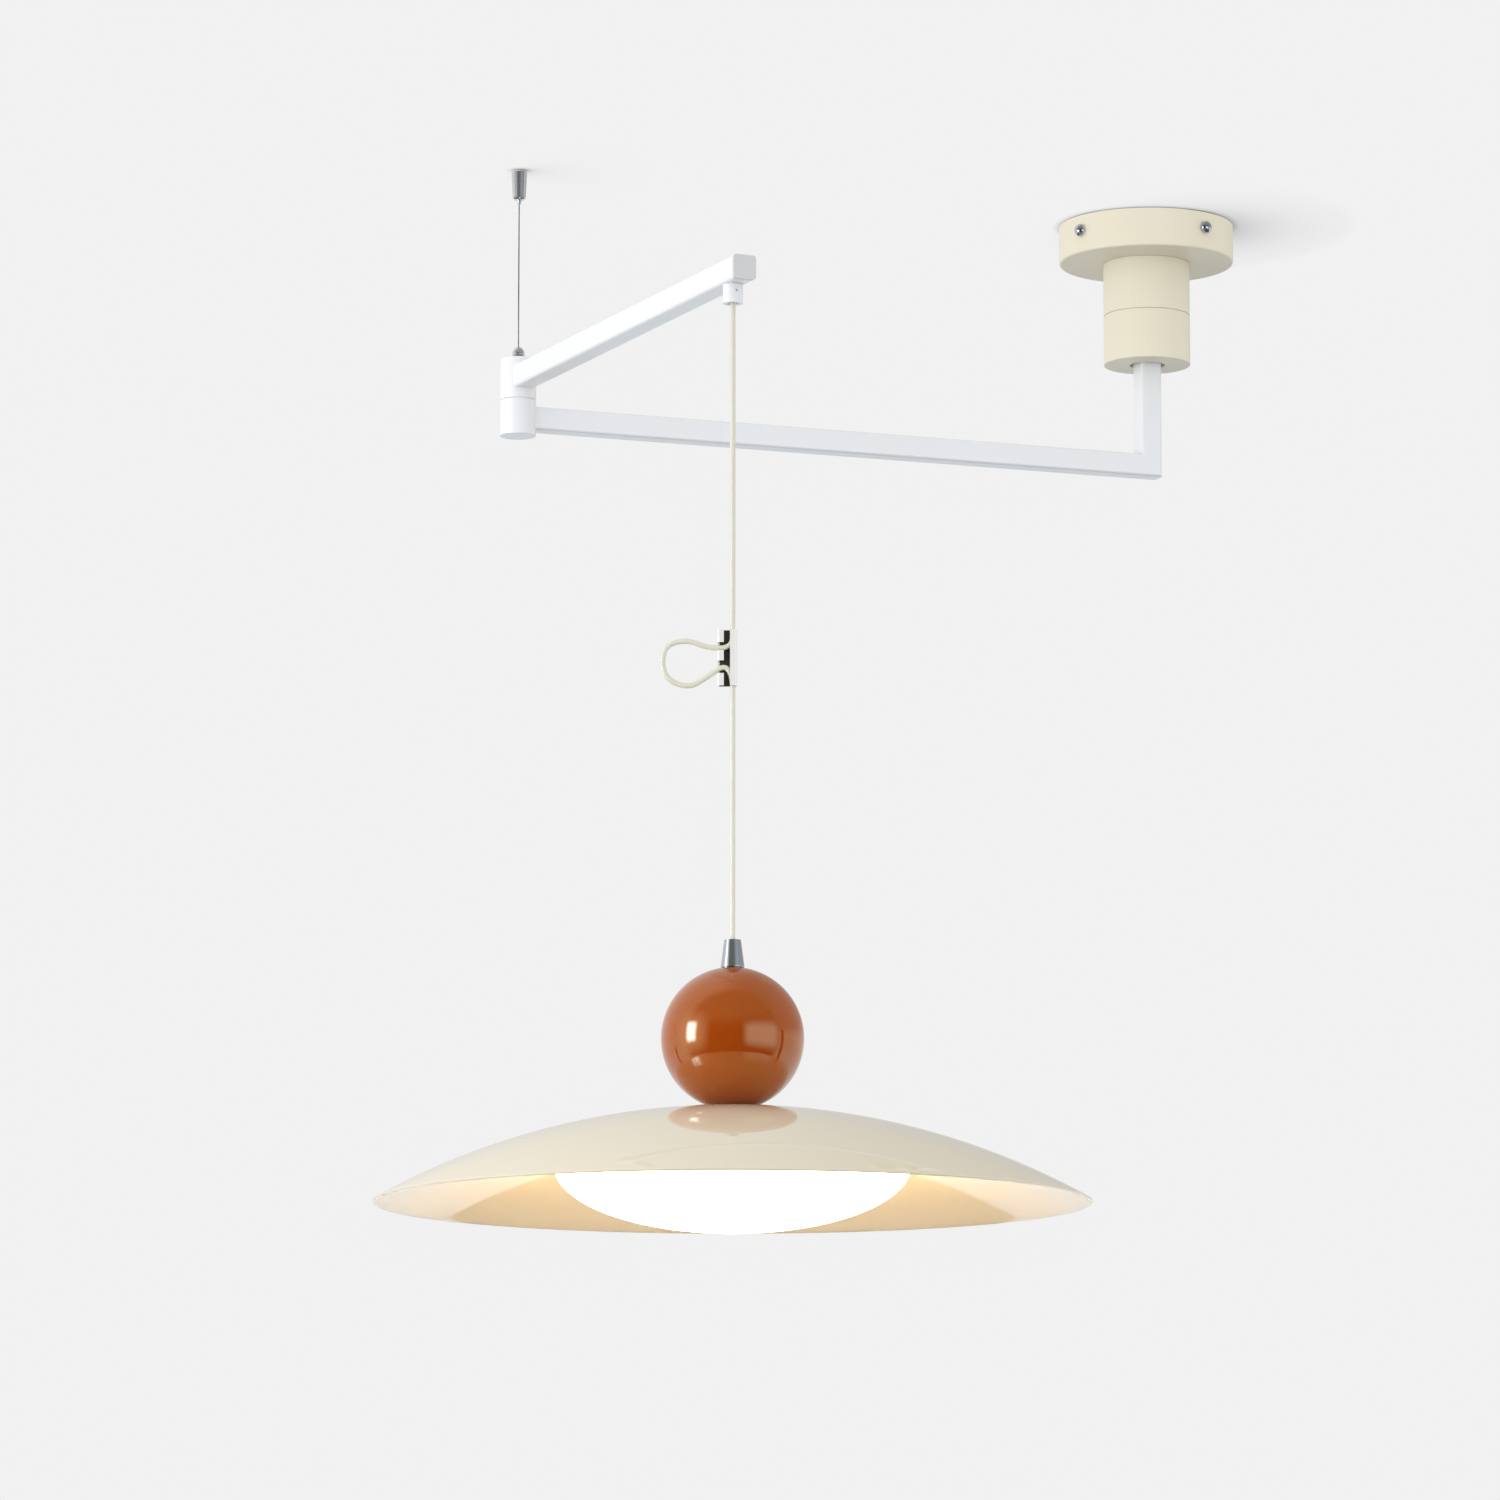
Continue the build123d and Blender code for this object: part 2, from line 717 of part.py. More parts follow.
# Upper barrel of the elbow: turns on the pivot and carries the swing arm
socket_spigot_top = swing_arm_axis - tube_floor + socket_nut_height + press_gap
swing_lead_level = socket_spigot_top + lead_bend + passing_gap
upper_window_radius = swing_lead_level - swing_arm_axis + lead_radius + passing_gap
with BuildPart() as elbow_barrel_upper:
    with BuildSketch(level(upper_barrel_bottom, elbow_point)):
        Circle(barrel_radius)
    extrude(amount=upper_barrel_top - upper_barrel_bottom)
    fillet(elbow_barrel_upper.edges().filter_by(GeomType.CIRCLE), barrel_edge_radius)
    with BuildSketch(level(upper_barrel_bottom + pivot_plate, elbow_point)):
        Circle(barrel_bore / 2)
    extrude(amount=upper_barrel_top - upper_barrel_bottom, mode=Mode.SUBTRACT)
    with BuildSketch(level(upper_barrel_bottom, elbow_point)):
        Circle(pivot_diameter / 2 + running_gap)
    extrude(amount=pivot_plate, mode=Mode.SUBTRACT)
    with BuildSketch(level(upper_barrel_top - elbow_cap_thickness, elbow_point)):
        Circle(elbow_cap_diameter / 2)
    extrude(amount=2 * elbow_cap_thickness, mode=Mode.SUBTRACT)
    with BuildSketch(facing(swing_heading, 0, swing_arm_axis, elbow_point)):
        Circle(upper_window_radius)
    extrude(amount=barrel_diameter, mode=Mode.SUBTRACT)
save(elbow_barrel_upper, "elbow_barrel_upper")

with BuildPart() as elbow_cap:
    with BuildSketch(level(upper_barrel_top - elbow_cap_thickness, elbow_point)):
        Circle(elbow_cap_diameter / 2 - press_gap)
        Circle(pivot_tip_diameter / 2 + passing_gap, mode=Mode.SUBTRACT)
    extrude(amount=elbow_cap_thickness)
save(elbow_cap, "elbow_cap")

# Swing arm: square tube from the barrel to past the cord socket, with a plugged end
swing_arm_end = swing_arm_length + swing_arm_overhang
swing_tube_end = swing_arm_end - end_plate
with BuildPart() as swing_arm_tube:
    with BuildSketch(facing(swing_heading, 0, swing_arm_axis, elbow_point)):
        RectangleRounded(tube_side, tube_side, tube_corner_radius)
        RectangleRounded(tube_inside, tube_inside, tube_inner_radius, mode=Mode.SUBTRACT)
    extrude(amount=swing_tube_end)
    with BuildSketch(level(upper_barrel_bottom, elbow_point)):
        Circle(barrel_radius)
    extrude(amount=upper_barrel_top - upper_barrel_bottom, mode=Mode.SUBTRACT)
    with BuildSketch(level(socket_top, hang_point)):
        Circle(socket_spigot_diameter / 2 + press_gap)
    extrude(amount=tube_wall, mode=Mode.SUBTRACT)
save(swing_arm_tube, "swing_arm_tube")

with BuildPart() as arm_end_plug:
    with BuildSketch(facing(swing_heading, swing_tube_end, swing_arm_axis, elbow_point)):
        RectangleRounded(tube_side, tube_side, tube_corner_radius)
    extrude(amount=end_plate)
    with BuildSketch(facing(swing_heading, swing_tube_end, swing_arm_axis, elbow_point)):
        plug_side = tube_inside - 2 * press_gap
        RectangleRounded(plug_side, plug_side, 2 * tube_inner_radius)
    extrude(amount=-end_plug_depth)
save(arm_end_plug, "arm_end_plug")

# Cord socket under the arm's end, with a flared mouth for the swaying cord
cord_radius = cord_diameter / 2
cord_bore_radius = cord_radius + cord_gap
with BuildPart() as cord_socket:
    with BuildSketch(upright(hang_point)) as socket_wall:
        with BuildLine():
            Polyline(
                (cord_bore_radius, socket_spigot_top),
                (socket_spigot_diameter / 2, socket_spigot_top),
                (socket_spigot_diameter / 2, socket_top),
                (socket_diameter / 2, socket_top),
                (socket_diameter / 2, socket_bottom),
                (socket_mouth_diameter / 2, socket_bottom),
                (cord_bore_radius, sway_point),
                close=True,
            )
        make_face()
        rim = socket_wall.vertices().group_by(Axis.Z)[0].sort_by(Axis.X)[-1]
        fillet(rim, socket_edge_radius)
    revolve(axis=upright_axis(hang_point))
    with BuildSketch(facing(swing_heading, 0, socket_top - lock_screw_drop, hang_point)):
        Circle(lock_screw_diameter / 2 + press_gap)
    extrude(amount=socket_diameter, mode=Mode.SUBTRACT)
save(cord_socket, "cord_socket")

with BuildPart() as cord_lock_screw:
    screw_tip = facing(swing_heading, cord_radius + press_gap, socket_top - lock_screw_drop, hang_point)
    with BuildSketch(screw_tip):
        Circle(lock_screw_diameter / 2)
    extrude(amount=(socket_diameter - cord_diameter) / 2 - passing_gap)
    with BuildSketch(screw_tip.offset((socket_diameter - cord_diameter) / 2 - passing_gap)):
        RegularPolygon(lock_screw_diameter / 4, 6)
    extrude(amount=-lock_screw_diameter / 2, mode=Mode.SUBTRACT)
save(cord_lock_screw, "cord_lock_screw")

with BuildPart() as socket_nut:
    with BuildSketch(level(swing_arm_axis - tube_floor, hang_point)):
        RegularPolygon(socket_nut_flats / 2, 6, major_radius=False, rotation=swing_heading)
        Circle(socket_spigot_diameter / 2 + press_gap, mode=Mode.SUBTRACT)
    extrude(amount=socket_nut_height)
save(socket_nut, "socket_nut")

# The cord's own run inside the swing arm, clamped in the socket
swing_lead_start = pivot_diameter / 2 + 2 * passing_gap
with BuildPart() as swing_arm_lead:
    with BuildLine(spoke(swing_heading, 0, elbow_point)) as swing_lead_path:
        FilletPolyline(
            (swing_lead_start, swing_lead_level),
            (swing_arm_length, swing_lead_level),
            (swing_arm_length, sway_point + sway_gap),
            radius=lead_bend,
        )
    with BuildSketch(facing(swing_heading, swing_lead_start, swing_lead_level, elbow_point)):
        Circle(lead_radius)
    sweep(path=swing_lead_path.line)
save(swing_arm_lead, "swing_arm_lead")

# Hanging cord: a short stretch at the socket, then straight down to the clip
with BuildPart() as cord_entry:
    with BuildSketch(level(sway_point, hang_point)):
        Circle(cord_radius)
    extrude(amount=sway_gap - sway_step)
save(cord_entry, "cord_entry")

with BuildPart() as cord_upper:
    with BuildSketch(level(second_sway_point, hang_point)):
        Circle(cord_radius)
    extrude(amount=clip_top + cord_lead_out - second_sway_point)
save(cord_upper, "cord_upper")

# Clip: a slotted box section of folded sheet, notched on one side for the loop's legs
loop_way = (cos(radians(loop_heading)), sin(radians(loop_heading)), 0)
clip_plane = Plane(origin=(*hang_point, clip_bottom), x_dir=loop_way, z_dir=(0, 0, 1))
clip_inside = -cord_radius - cord_gap
clip_outside = clip_inside - clip_sheet
clip_front = cord_radius + passing_gap + clip_sheet
clip_back = clip_front - clip_depth
clip_middle = (clip_outside + clip_width / 2, (clip_front + clip_back) / 2)
slot_middle = clip_slot_offset + clip_slot_width / 2
far_lip = clip_outside + clip_width - clip_slot_offset - clip_slot_width
notch_start = clip_slot_offset + clip_slot_width
with BuildPart() as cord_clip:
    with BuildSketch(clip_plane):
        with Locations(clip_middle):
            RectangleRounded(clip_width, clip_depth, clip_corner_radius)
            RectangleRounded(
                clip_width - 2 * clip_sheet,
                clip_depth - 2 * clip_sheet,
                max(clip_corner_radius - clip_sheet, 0.2),
                mode=Mode.SUBTRACT,
            )
        with Locations((slot_middle, clip_front)):
            Rectangle(clip_slot_width, 3 * clip_sheet, mode=Mode.SUBTRACT)
    extrude(amount=clip_height)
    notches = ((upper_notch_rise, upper_notch_height), (-lower_notch_drop, lower_notch_height))
    for rise, opening in notches:
        with BuildSketch(clip_plane.offset(clip_height / 2 + rise - opening / 2)):
            with Locations((notch_start, clip_back + clip_sheet)):
                Rectangle(2 * far_lip, 2 * clip_depth, align=(Align.MIN, Align.MIN))
        extrude(amount=opening, mode=Mode.SUBTRACT)
save(cord_clip, "cord_clip")

# Rubber strip on the clip's back, which pinches the cord
with BuildPart() as clip_liner:
    with BuildSketch(clip_plane):
        with Locations((clip_middle[0], clip_back + clip_sheet)):
            Rectangle(
                clip_width - 2 * clip_corner_radius,
                liner_thickness,
                align=(Align.CENTER, Align.MIN),
            )
    extrude(amount=clip_height)
save(clip_liner, "clip_liner")

# Spare cord: into the clip, out round the loop and back, and out below
loop_plane = Plane(
    origin=(*hang_point, clip_centre),
    x_dir=loop_way,
    z_dir=(loop_way[1], -loop_way[0], 0),
)
loop_end = clip_height / 2 + cord_lead_out
with BuildPart() as cord_loop:
    with BuildLine(loop_plane) as loop_path:
        FilletPolyline(
            (0, loop_end),
            (0, loop_upper_leg[0]),
            (loop_reach, loop_upper_leg[1]),
            (loop_reach, loop_lower_leg[1]),
            (0, loop_lower_leg[0]),
            (0, -loop_end),
            radius=[loop_bend, loop_radius, loop_radius, loop_bend],
        )
    with BuildSketch(level(clip_centre + loop_end, hang_point)):
        Circle(cord_radius)
    sweep(path=loop_path.line)
save(cord_loop, "cord_loop")

with BuildPart() as cord_lower:
    with BuildSketch(level(clip_centre - loop_end, hang_point)):
        Circle(cord_radius)
    extrude(amount=grip_top - cord_insertion - clip_centre + loop_end)
save(cord_lower, "cord_lower")

# Cord grip: a hollow cone on top of the ball, threaded onto the stem
stem_radius = stem_diameter / 2
stem_top = grip_bottom + cord_grip_thread
with BuildPart() as cord_grip:
    with BuildSketch(upright(hang_point)) as grip_wall:
        with BuildLine():
            Polyline(
                (cord_bore_radius, grip_top),
                (cord_grip_top_diameter / 2, grip_top),
                (cord_grip_base_diameter / 2, grip_bottom),
                (stem_radius + press_gap, grip_bottom),
                (stem_radius + press_gap, stem_top),
                (cord_bore_radius, stem_top),
                close=True,
            )
        make_face()
        fillet(grip_wall.vertices().group_by(Axis.Z)[-1].sort_by(Axis.X)[-1], cord_grip_edge_radius)
    revolve(axis=upright_axis(hang_point))
save(cord_grip, "cord_grip")

# Ball: a hollow shell with small flats for the grip and the shade
ball_radius = ball_diameter / 2
ball_inner = ball_radius - ball_wall
top_land = cord_grip_base_diameter / 2 + ball_top_land
seat_radius = ball_seat_diameter / 2
ball_centre = grip_bottom - sqrt(ball_radius**2 - top_land**2)
ball_bottom = ball_centre - sqrt(ball_radius**2 - seat_radius**2)
inner_top = grip_bottom - ball_wall
inner_bottom = ball_bottom + ball_wall
inner_top_radius = sqrt(ball_inner**2 - (inner_top - ball_centre) ** 2)
inner_bottom_radius = sqrt(ball_inner**2 - (inner_bottom - ball_centre) ** 2)
stem_hole = stem_radius + press_gap
with BuildPart() as ball:
    with BuildSketch(upright(hang_point)):
        with BuildLine():
            Polyline(
                (inner_top_radius, inner_top),
                (stem_hole, inner_top),
                (stem_hole, grip_bottom),
                (top_land, grip_bottom),
            )
            ThreePointArc((top_land, grip_bottom), (ball_radius, ball_centre), (seat_radius, ball_bottom))
            Polyline(
                (seat_radius, ball_bottom),
                (stem_hole, ball_bottom),
                (stem_hole, inner_bottom),
                (inner_bottom_radius, inner_bottom),
            )
            ThreePointArc(
                (inner_bottom_radius, inner_bottom),
                (ball_inner, ball_centre),
                (inner_top_radius, inner_top),
            )
        make_face()
    revolve(axis=upright_axis(hang_point))
save(ball, "ball")

# Shade: a shallow spun dish of one radius, with a small flat under the ball
shade_radius = shade_diameter / 2
rim_height = ball_bottom - shade_depth
flat_radius = seat_radius
dish_radius = (shade_radius**2 - flat_radius**2 + shade_depth**2) ** 2
dish_radius = sqrt(dish_radius / (4 * shade_depth**2) + flat_radius**2)
dish_centre = ball_bottom - sqrt(dish_radius**2 - flat_radius**2)
inner_dish = dish_radius - shade_wall
middle_radius = (flat_radius + shade_radius) / 2
flat_inside = ball_bottom - shade_wall
inner_flat_radius = sqrt(inner_dish**2 - (flat_inside - dish_centre) ** 2)
inner_rim = (
    shade_radius * inner_dish / dish_radius,
    dish_centre + (rim_height - dish_centre) * inner_dish / dish_radius,
)
with BuildPart() as shade:
    with BuildSketch(upright(hang_point)) as dish:
        with BuildLine():
            Polyline(
                (inner_flat_radius, flat_inside),
                (stem_hole, flat_inside),
                (stem_hole, ball_bottom),
                (flat_radius, ball_bottom),
            )
            ThreePointArc(
                (flat_radius, ball_bottom),
                (middle_radius, circle_height(dish_centre, dish_radius, middle_radius)),
                (shade_radius, rim_height),
            )
            Line((shade_radius, rim_height), inner_rim)
            ThreePointArc(
                inner_rim,
                (middle_radius, circle_height(dish_centre, inner_dish, middle_radius)),
                (inner_flat_radius, flat_inside),
            )
        make_face()
        fillet(dish.vertices().sort_by(Axis.X)[-2:], shade_rim_radius)
    revolve(axis=upright_axis(hang_point))
save(shade, "shade")

# Lamp pan: a lid that the diffuser hangs from, held up under the shade by the stem
equator = rim_height + equator_above_rim
diffuser_radius = diffuser_diameter / 2
collar_radius = diffuser_radius - diffuser_shoulder
collar_inner = collar_radius - diffuser_wall
collar_top = equator + diffuser_shoulder + diffuser_collar
pan_top = collar_top + pan_thickness
pan_rim_radius = collar_inner - pan_gap
with BuildPart() as pan_spacer:
    with BuildSketch(level(pan_top, hang_point)):
        Circle(spacer_diameter / 2)
        Circle(stem_hole, mode=Mode.SUBTRACT)
    extrude(amount=flat_inside - pan_top)
save(pan_spacer, "pan_spacer")

screw_level = collar_top - diffuser_head_diameter / 2 - diffuser_head_margin
diffuser_angles = evenly(diffuser_screw_count, 30)
with BuildPart() as lamp_pan:
    with BuildSketch(upright(hang_point)):
        with BuildLine():
            Polyline(
                (stem_hole, pan_top),
                (collar_radius + pan_flange, pan_top),
                (collar_radius + pan_flange, collar_top),
                (pan_rim_radius, collar_top),
                (pan_rim_radius, collar_top - pan_rim_height),
                (pan_rim_radius - pan_thickness, collar_top - pan_rim_height),
                (pan_rim_radius - pan_thickness, collar_top),
                (stem_hole, collar_top),
                close=True,
            )
        make_face()
    revolve(axis=upright_axis(hang_point))
    for angle in diffuser_angles:
        with BuildSketch(facing(angle, pan_rim_radius - 3 * pan_thickness, screw_level, hang_point)):
            Circle(diffuser_screw_diameter / 2 + press_gap)
        extrude(amount=4 * pan_thickness, mode=Mode.SUBTRACT)
save(lamp_pan, "lamp_pan")

with BuildPart() as pan_nut:
    with BuildSketch(level(collar_top, hang_point)):
        RegularPolygon(pan_nut_flats / 2, 6, major_radius=False)
        Circle(stem_hole, mode=Mode.SUBTRACT)
    extrude(amount=-pan_nut_height)
save(pan_nut, "pan_nut")

# Hollow stem from the cord grip through the ball, shade and pan
with BuildPart() as pendant_stem:
    with BuildSketch(level(stem_top, hang_point)):
        Circle(stem_radius)
        Circle(stem_bore / 2, mode=Mode.SUBTRACT)
    extrude(amount=collar_top - pan_nut_height - thread_overrun - stem_top)
save(pendant_stem, "pendant_stem")

# Ring-shaped circuit board with its lamps, and the driver's cover in the middle
board_radius = pan_rim_radius - pan_thickness - board_margin
with BuildPart() as led_board:
    with BuildSketch(level(collar_top, hang_point)):
        Circle(board_radius)
        Circle(board_inner_diameter / 2, mode=Mode.SUBTRACT)
    extrude(amount=-board_thickness)
save(led_board, "led_board")

board_bottom = collar_top - board_thickness
with BuildPart() as led_lamps:
    with BuildSketch(level(board_bottom, hang_point)):
        with PolarLocations(board_radius - inner_ring_inset, inner_ring_count):
            Circle(led_diameter / 2)
        with PolarLocations(board_radius - outer_ring_inset, outer_ring_count):
            Circle(led_diameter / 2)
    extrude(amount=-led_height, taper=20)
save(led_lamps, "led_lamps")

with BuildPart() as driver_cover:
    with BuildSketch(level(collar_top, hang_point)):
        Circle(cover_diameter / 2)
    extrude(amount=-cover_height)
    fillet(driver_cover.edges().group_by(Axis.Z)[0], 2 * cover_wall)
    with BuildSketch(level(collar_top, hang_point)):
        Circle(cover_diameter / 2 - cover_wall)
    extrude(amount=cover_wall - cover_height, mode=Mode.SUBTRACT)
save(driver_cover, "driver_cover")

# Diffuser: an opal bowl with a rounded shoulder and a collar for the pan
shoulder_inside = equator + diffuser_shoulder - diffuser_wall
with BuildPart() as diffuser:
    with BuildSketch(upright(hang_point)):
        with BuildLine():
            EllipticalCenterArc(
                (0, equator), diffuser_radius, diffuser_depth, start_angle=270, arc_size=90
            )
            CenterArc((collar_radius, equator), diffuser_shoulder, 0, 90)
            Polyline(
                (collar_radius, equator + diffuser_shoulder),
                (collar_radius, collar_top),
                (collar_inner, collar_top),
                (collar_inner, shoulder_inside),
                (collar_radius, shoulder_inside),
            )
            CenterArc((collar_radius, equator), diffuser_shoulder - diffuser_wall, 0, 90)
            EllipticalCenterArc(
                (0, equator),
                diffuser_radius - diffuser_wall,
                diffuser_depth - diffuser_wall,
                start_angle=270,
                arc_size=90,
            )
            Line((0, equator - diffuser_depth), (0, equator - diffuser_depth + diffuser_wall))
        make_face()
    revolve(axis=upright_axis(hang_point))
    for angle in diffuser_angles:
        with BuildSketch(facing(angle, collar_inner - diffuser_wall, screw_level, hang_point)):
            Circle(diffuser_screw_diameter / 2 + cord_gap)
        extrude(amount=3 * diffuser_wall, mode=Mode.SUBTRACT)
save(diffuser, "diffuser")

with BuildPart() as diffuser_screws:
    for angle in diffuser_angles:
        with BuildSketch(spoke(angle, screw_level, hang_point)):
            with BuildLine():
                seat = collar_radius + press_gap
                Polyline(
                    (seat - diffuser_screw_length, 0),
                    (seat - diffuser_screw_length, diffuser_screw_diameter / 2),
                    (seat, diffuser_screw_diameter / 2),
                    (seat, diffuser_head_diameter / 2),
                    (seat + diffuser_head_height / 2, diffuser_head_diameter / 2),
                    (seat + diffuser_head_height, diffuser_head_diameter / 3),
                    (seat + diffuser_head_height, 0),
                    close=True,
                )
            make_face()
        revolve(axis=spoke_axis(angle, screw_level, hang_point))
save(diffuser_screws, "diffuser_screws")

# Lengths and clearances worth knowing
socket_reach = hypot(socket_diameter / 2, tube_side / 2)
print("hang point", round(hang_point[0], 2), round(hang_point[1], 2))
print("sway points", round(sway_point, 2), round(second_sway_point, 2))
print("clip from", round(clip_top, 2), "to", round(clip_bottom, 2), "ball centre", round(ball_centre, 2))
lamp_bottom = equator - diffuser_depth
print("apex", round(ball_bottom, 2), "rim", round(rim_height, 2), "lamp bottom", round(lamp_bottom, 2))
loop_length = sum(edge.length for edge in loop_path.edges())
print("upper cord", round(sway_point - clip_top, 1), "loop", round(loop_length, 1))
print("lower cord", round(clip_bottom - grip_top, 1), "wire", round(ferrule_bottom - wire_grip_top, 1))
print("cord radii: loop", loop_radius, "clip bends", loop_bend, "lead bends", lead_bend)
print("least gap round the cord", cord_gap, "socket reach", round(socket_reach, 2))
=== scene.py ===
import json
from math import asin, cos, pi, radians, sin

import bmesh
import bpy
from mathutils import Matrix, Vector

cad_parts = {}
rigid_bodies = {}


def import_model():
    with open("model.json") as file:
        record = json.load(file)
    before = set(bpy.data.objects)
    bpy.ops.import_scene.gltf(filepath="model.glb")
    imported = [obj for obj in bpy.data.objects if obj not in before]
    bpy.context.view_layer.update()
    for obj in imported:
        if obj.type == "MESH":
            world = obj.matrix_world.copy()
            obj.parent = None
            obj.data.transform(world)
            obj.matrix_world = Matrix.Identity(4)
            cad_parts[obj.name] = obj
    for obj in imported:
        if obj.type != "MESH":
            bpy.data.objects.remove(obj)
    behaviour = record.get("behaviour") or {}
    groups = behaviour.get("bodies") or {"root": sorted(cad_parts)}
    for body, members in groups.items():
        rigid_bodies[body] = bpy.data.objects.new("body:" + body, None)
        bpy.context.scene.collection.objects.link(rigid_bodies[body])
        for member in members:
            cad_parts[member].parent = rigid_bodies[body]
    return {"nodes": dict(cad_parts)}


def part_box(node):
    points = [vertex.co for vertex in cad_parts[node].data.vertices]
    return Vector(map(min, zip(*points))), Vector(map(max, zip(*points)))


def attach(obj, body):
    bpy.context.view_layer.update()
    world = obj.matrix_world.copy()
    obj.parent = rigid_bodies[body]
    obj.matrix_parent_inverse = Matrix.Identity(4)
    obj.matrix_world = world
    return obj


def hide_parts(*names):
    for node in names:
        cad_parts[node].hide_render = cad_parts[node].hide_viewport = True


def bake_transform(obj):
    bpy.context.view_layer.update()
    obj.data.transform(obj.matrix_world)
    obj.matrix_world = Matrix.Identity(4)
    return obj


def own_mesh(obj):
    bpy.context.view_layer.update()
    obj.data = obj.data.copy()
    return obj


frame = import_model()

scene = bpy.context.scene
for stray in [thing for thing in scene.objects if thing.name in ("Cube", "Light", "Camera")]:
    bpy.data.objects.remove(stray)
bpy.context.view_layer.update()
scene.view_settings.view_transform = "Standard"
mm = 0.001  # lengths are in metres
print("frame loaded with", len(frame["nodes"]), "nodes")

# plan positions shared with the part
lampPlan = {"elbow": (-0.420, 0, 0), "swingHeading": radians(-86.5), "swingReach": 0.318}
swingWay = Vector((cos(lampPlan["swingHeading"]), sin(lampPlan["swingHeading"]), 0))
hangSpot = Vector(lampPlan["elbow"]) + lampPlan["swingReach"] * swingWay


# a shader socket that plain Python expressions can work on
class Link:
    def __init__(self, tree, socket=None):
        self.tree = tree
        self.socket = socket

    # any node: settings first, then the values or links of its sockets
    def node(self, kind, settings=None, sockets=None, out=0):
        made = self.tree.nodes.new("ShaderNode" + kind)
        for name, value in (settings or {}).items():
            if name == "stops":  # a ramp has two stops to start with
                for extra in value[2:]:
                    made.color_ramp.elements.new(0.5)
                for stop, (place, colour) in zip(made.color_ramp.elements, value):
                    stop.position = place
                    stop.color = colour
            else:
                setattr(made, name, value)
        for key, value in (sockets or {}).items():
            if isinstance(value, Link):
                self.tree.links.new(value.socket, made.inputs[key])
            else:
                made.inputs[key].default_value = value
        return Link(self.tree, made.outputs[out]) if len(made.outputs) else None

    def maths(self, operation, first, second):
        return self.node("Math", {"operation": operation}, {0: first, 1: second})

    def __add__(self, other):
        return self.maths("ADD", self, other)

    def __radd__(self, other):
        return self.maths("ADD", other, self)

    def __sub__(self, other):
        return self.maths("SUBTRACT", self, other)

    def __rsub__(self, other):
        return self.maths("SUBTRACT", other, self)

    def __mul__(self, other):
        return self.maths("MULTIPLY", self, other)

    def __rmul__(self, other):
        return self.maths("MULTIPLY", other, self)


def grain(maker, place, scale, detail=3):
    return maker.node("TexNoise", None, {"Vector": place, "Scale": scale, "Detail": detail})


# a mix of two colours, each a link or a plain RGB; 6, 7 and 2 are the Mix node's colour sockets
def tint(maker, factor, first, second, blend="MIX"):
    ends = [end if isinstance(end, Link) else (*end, 1) for end in (first, second)]
    settings = {"data_type": "RGBA", "blend_type": blend}
    return maker.node("Mix", settings, {0: factor, 6: ends[0], 7: ends[1]}, out=2)


def spread(maker, factor, low, high):
    return maker.node("MapRange", None, {"Value": factor, "To Min": low, "To Max": high})


# 0 below low, 1 above high and smooth between them
def ease(maker, value, low, high):
    sockets = {"Value": value, "From Min": low, "From Max": high}
    return maker.node("MapRange", {"interpolation_type": "SMOOTHSTEP"}, sockets)


def along(maker, vector, way):
    return maker.node("VectorMath", {"operation": "DOT_PRODUCT"}, {0: vector, 1: way}, out="Value")


def relief(maker, height, strength, depth):
    return maker.node("Bump", None, {"Strength": strength, "Distance": depth, "Height": height})


# a fresh material with its Principled shader and its object coordinates
def startFinish(name, fixed):
    made = bpy.data.materials.new(name)
    made.use_nodes = True
    tree = made.node_tree
    shader = tree.nodes["Principled BSDF"]
    for socket, value in fixed.items():
        shader.inputs[socket].default_value = value
    maker = Link(tree)
    place = maker.node("TexCoord", out="Object")
    return made, shader, maker, place


def feed(shader, name, link):
    link.tree.links.new(link.socket, shader.inputs[name])


# sprayed paint: a faint drift of tone, orange peel in two sizes and uneven gloss
finePeel = {"scale": 4, "share": 0.25}


def sprayedPaint(name, look):
    made, shader, maker, place = startFinish(name, look["fixed"])
    drift = grain(maker, place, look["driftScale"])
    feed(shader, "Base Color", tint(maker, drift, look["pale"], look["deep"]))
    patches = grain(maker, place, look["patchScale"], detail=4)
    feed(shader, "Roughness", spread(maker, patches, *look["gloss"]))
    coarse = grain(maker, place, look["peelScale"], detail=2)
    fine = grain(maker, place, finePeel["scale"] * look["peelScale"], detail=1)
    peel = coarse + finePeel["share"] * fine
    feed(shader, "Normal", relief(maker, peel, look["peelStrength"], look["peelDepth"]))
    return made


# plated metal: turned lines round the axis and fine handling marks
metalGloss = {"lines": 0.6, "cloud": 0.4}


def platedMetal(name, look):
    made, shader, maker, place = startFinish(name, look["fixed"])
    turned = maker.node("Mapping", None, {"Vector": place, "Scale": look["lineStretch"]})
    lines = grain(maker, turned, look["lineScale"], detail=2)
    cloud = grain(maker, place, look["cloudScale"], detail=4)
    feed(shader, "Base Color", tint(maker, cloud, look["pale"], look["deep"]))
    uneven = metalGloss["lines"] * lines + metalGloss["cloud"] * cloud
    feed(shader, "Roughness", spread(maker, uneven, *look["gloss"]))
    feed(shader, "Normal", relief(maker, lines, look["lineStrength"], look["lineDepth"]))
    return made


# moulded plastic or rubber: fine matt texture and a little mottling
def mouldedPlastic(name, look):
    made, shader, maker, place = startFinish(name, look["fixed"])
    cloud = grain(maker, place, look["cloudScale"], detail=4)
    feed(shader, "Base Color", tint(maker, cloud, look["pale"], look["deep"]))
    fine = grain(maker, place, look["grainScale"])
    feed(shader, "Roughness", spread(maker, fine, *look["gloss"]))
    feed(shader, "Normal", relief(maker, fine, look["grainStrength"], look["grainDepth"]))
    return made


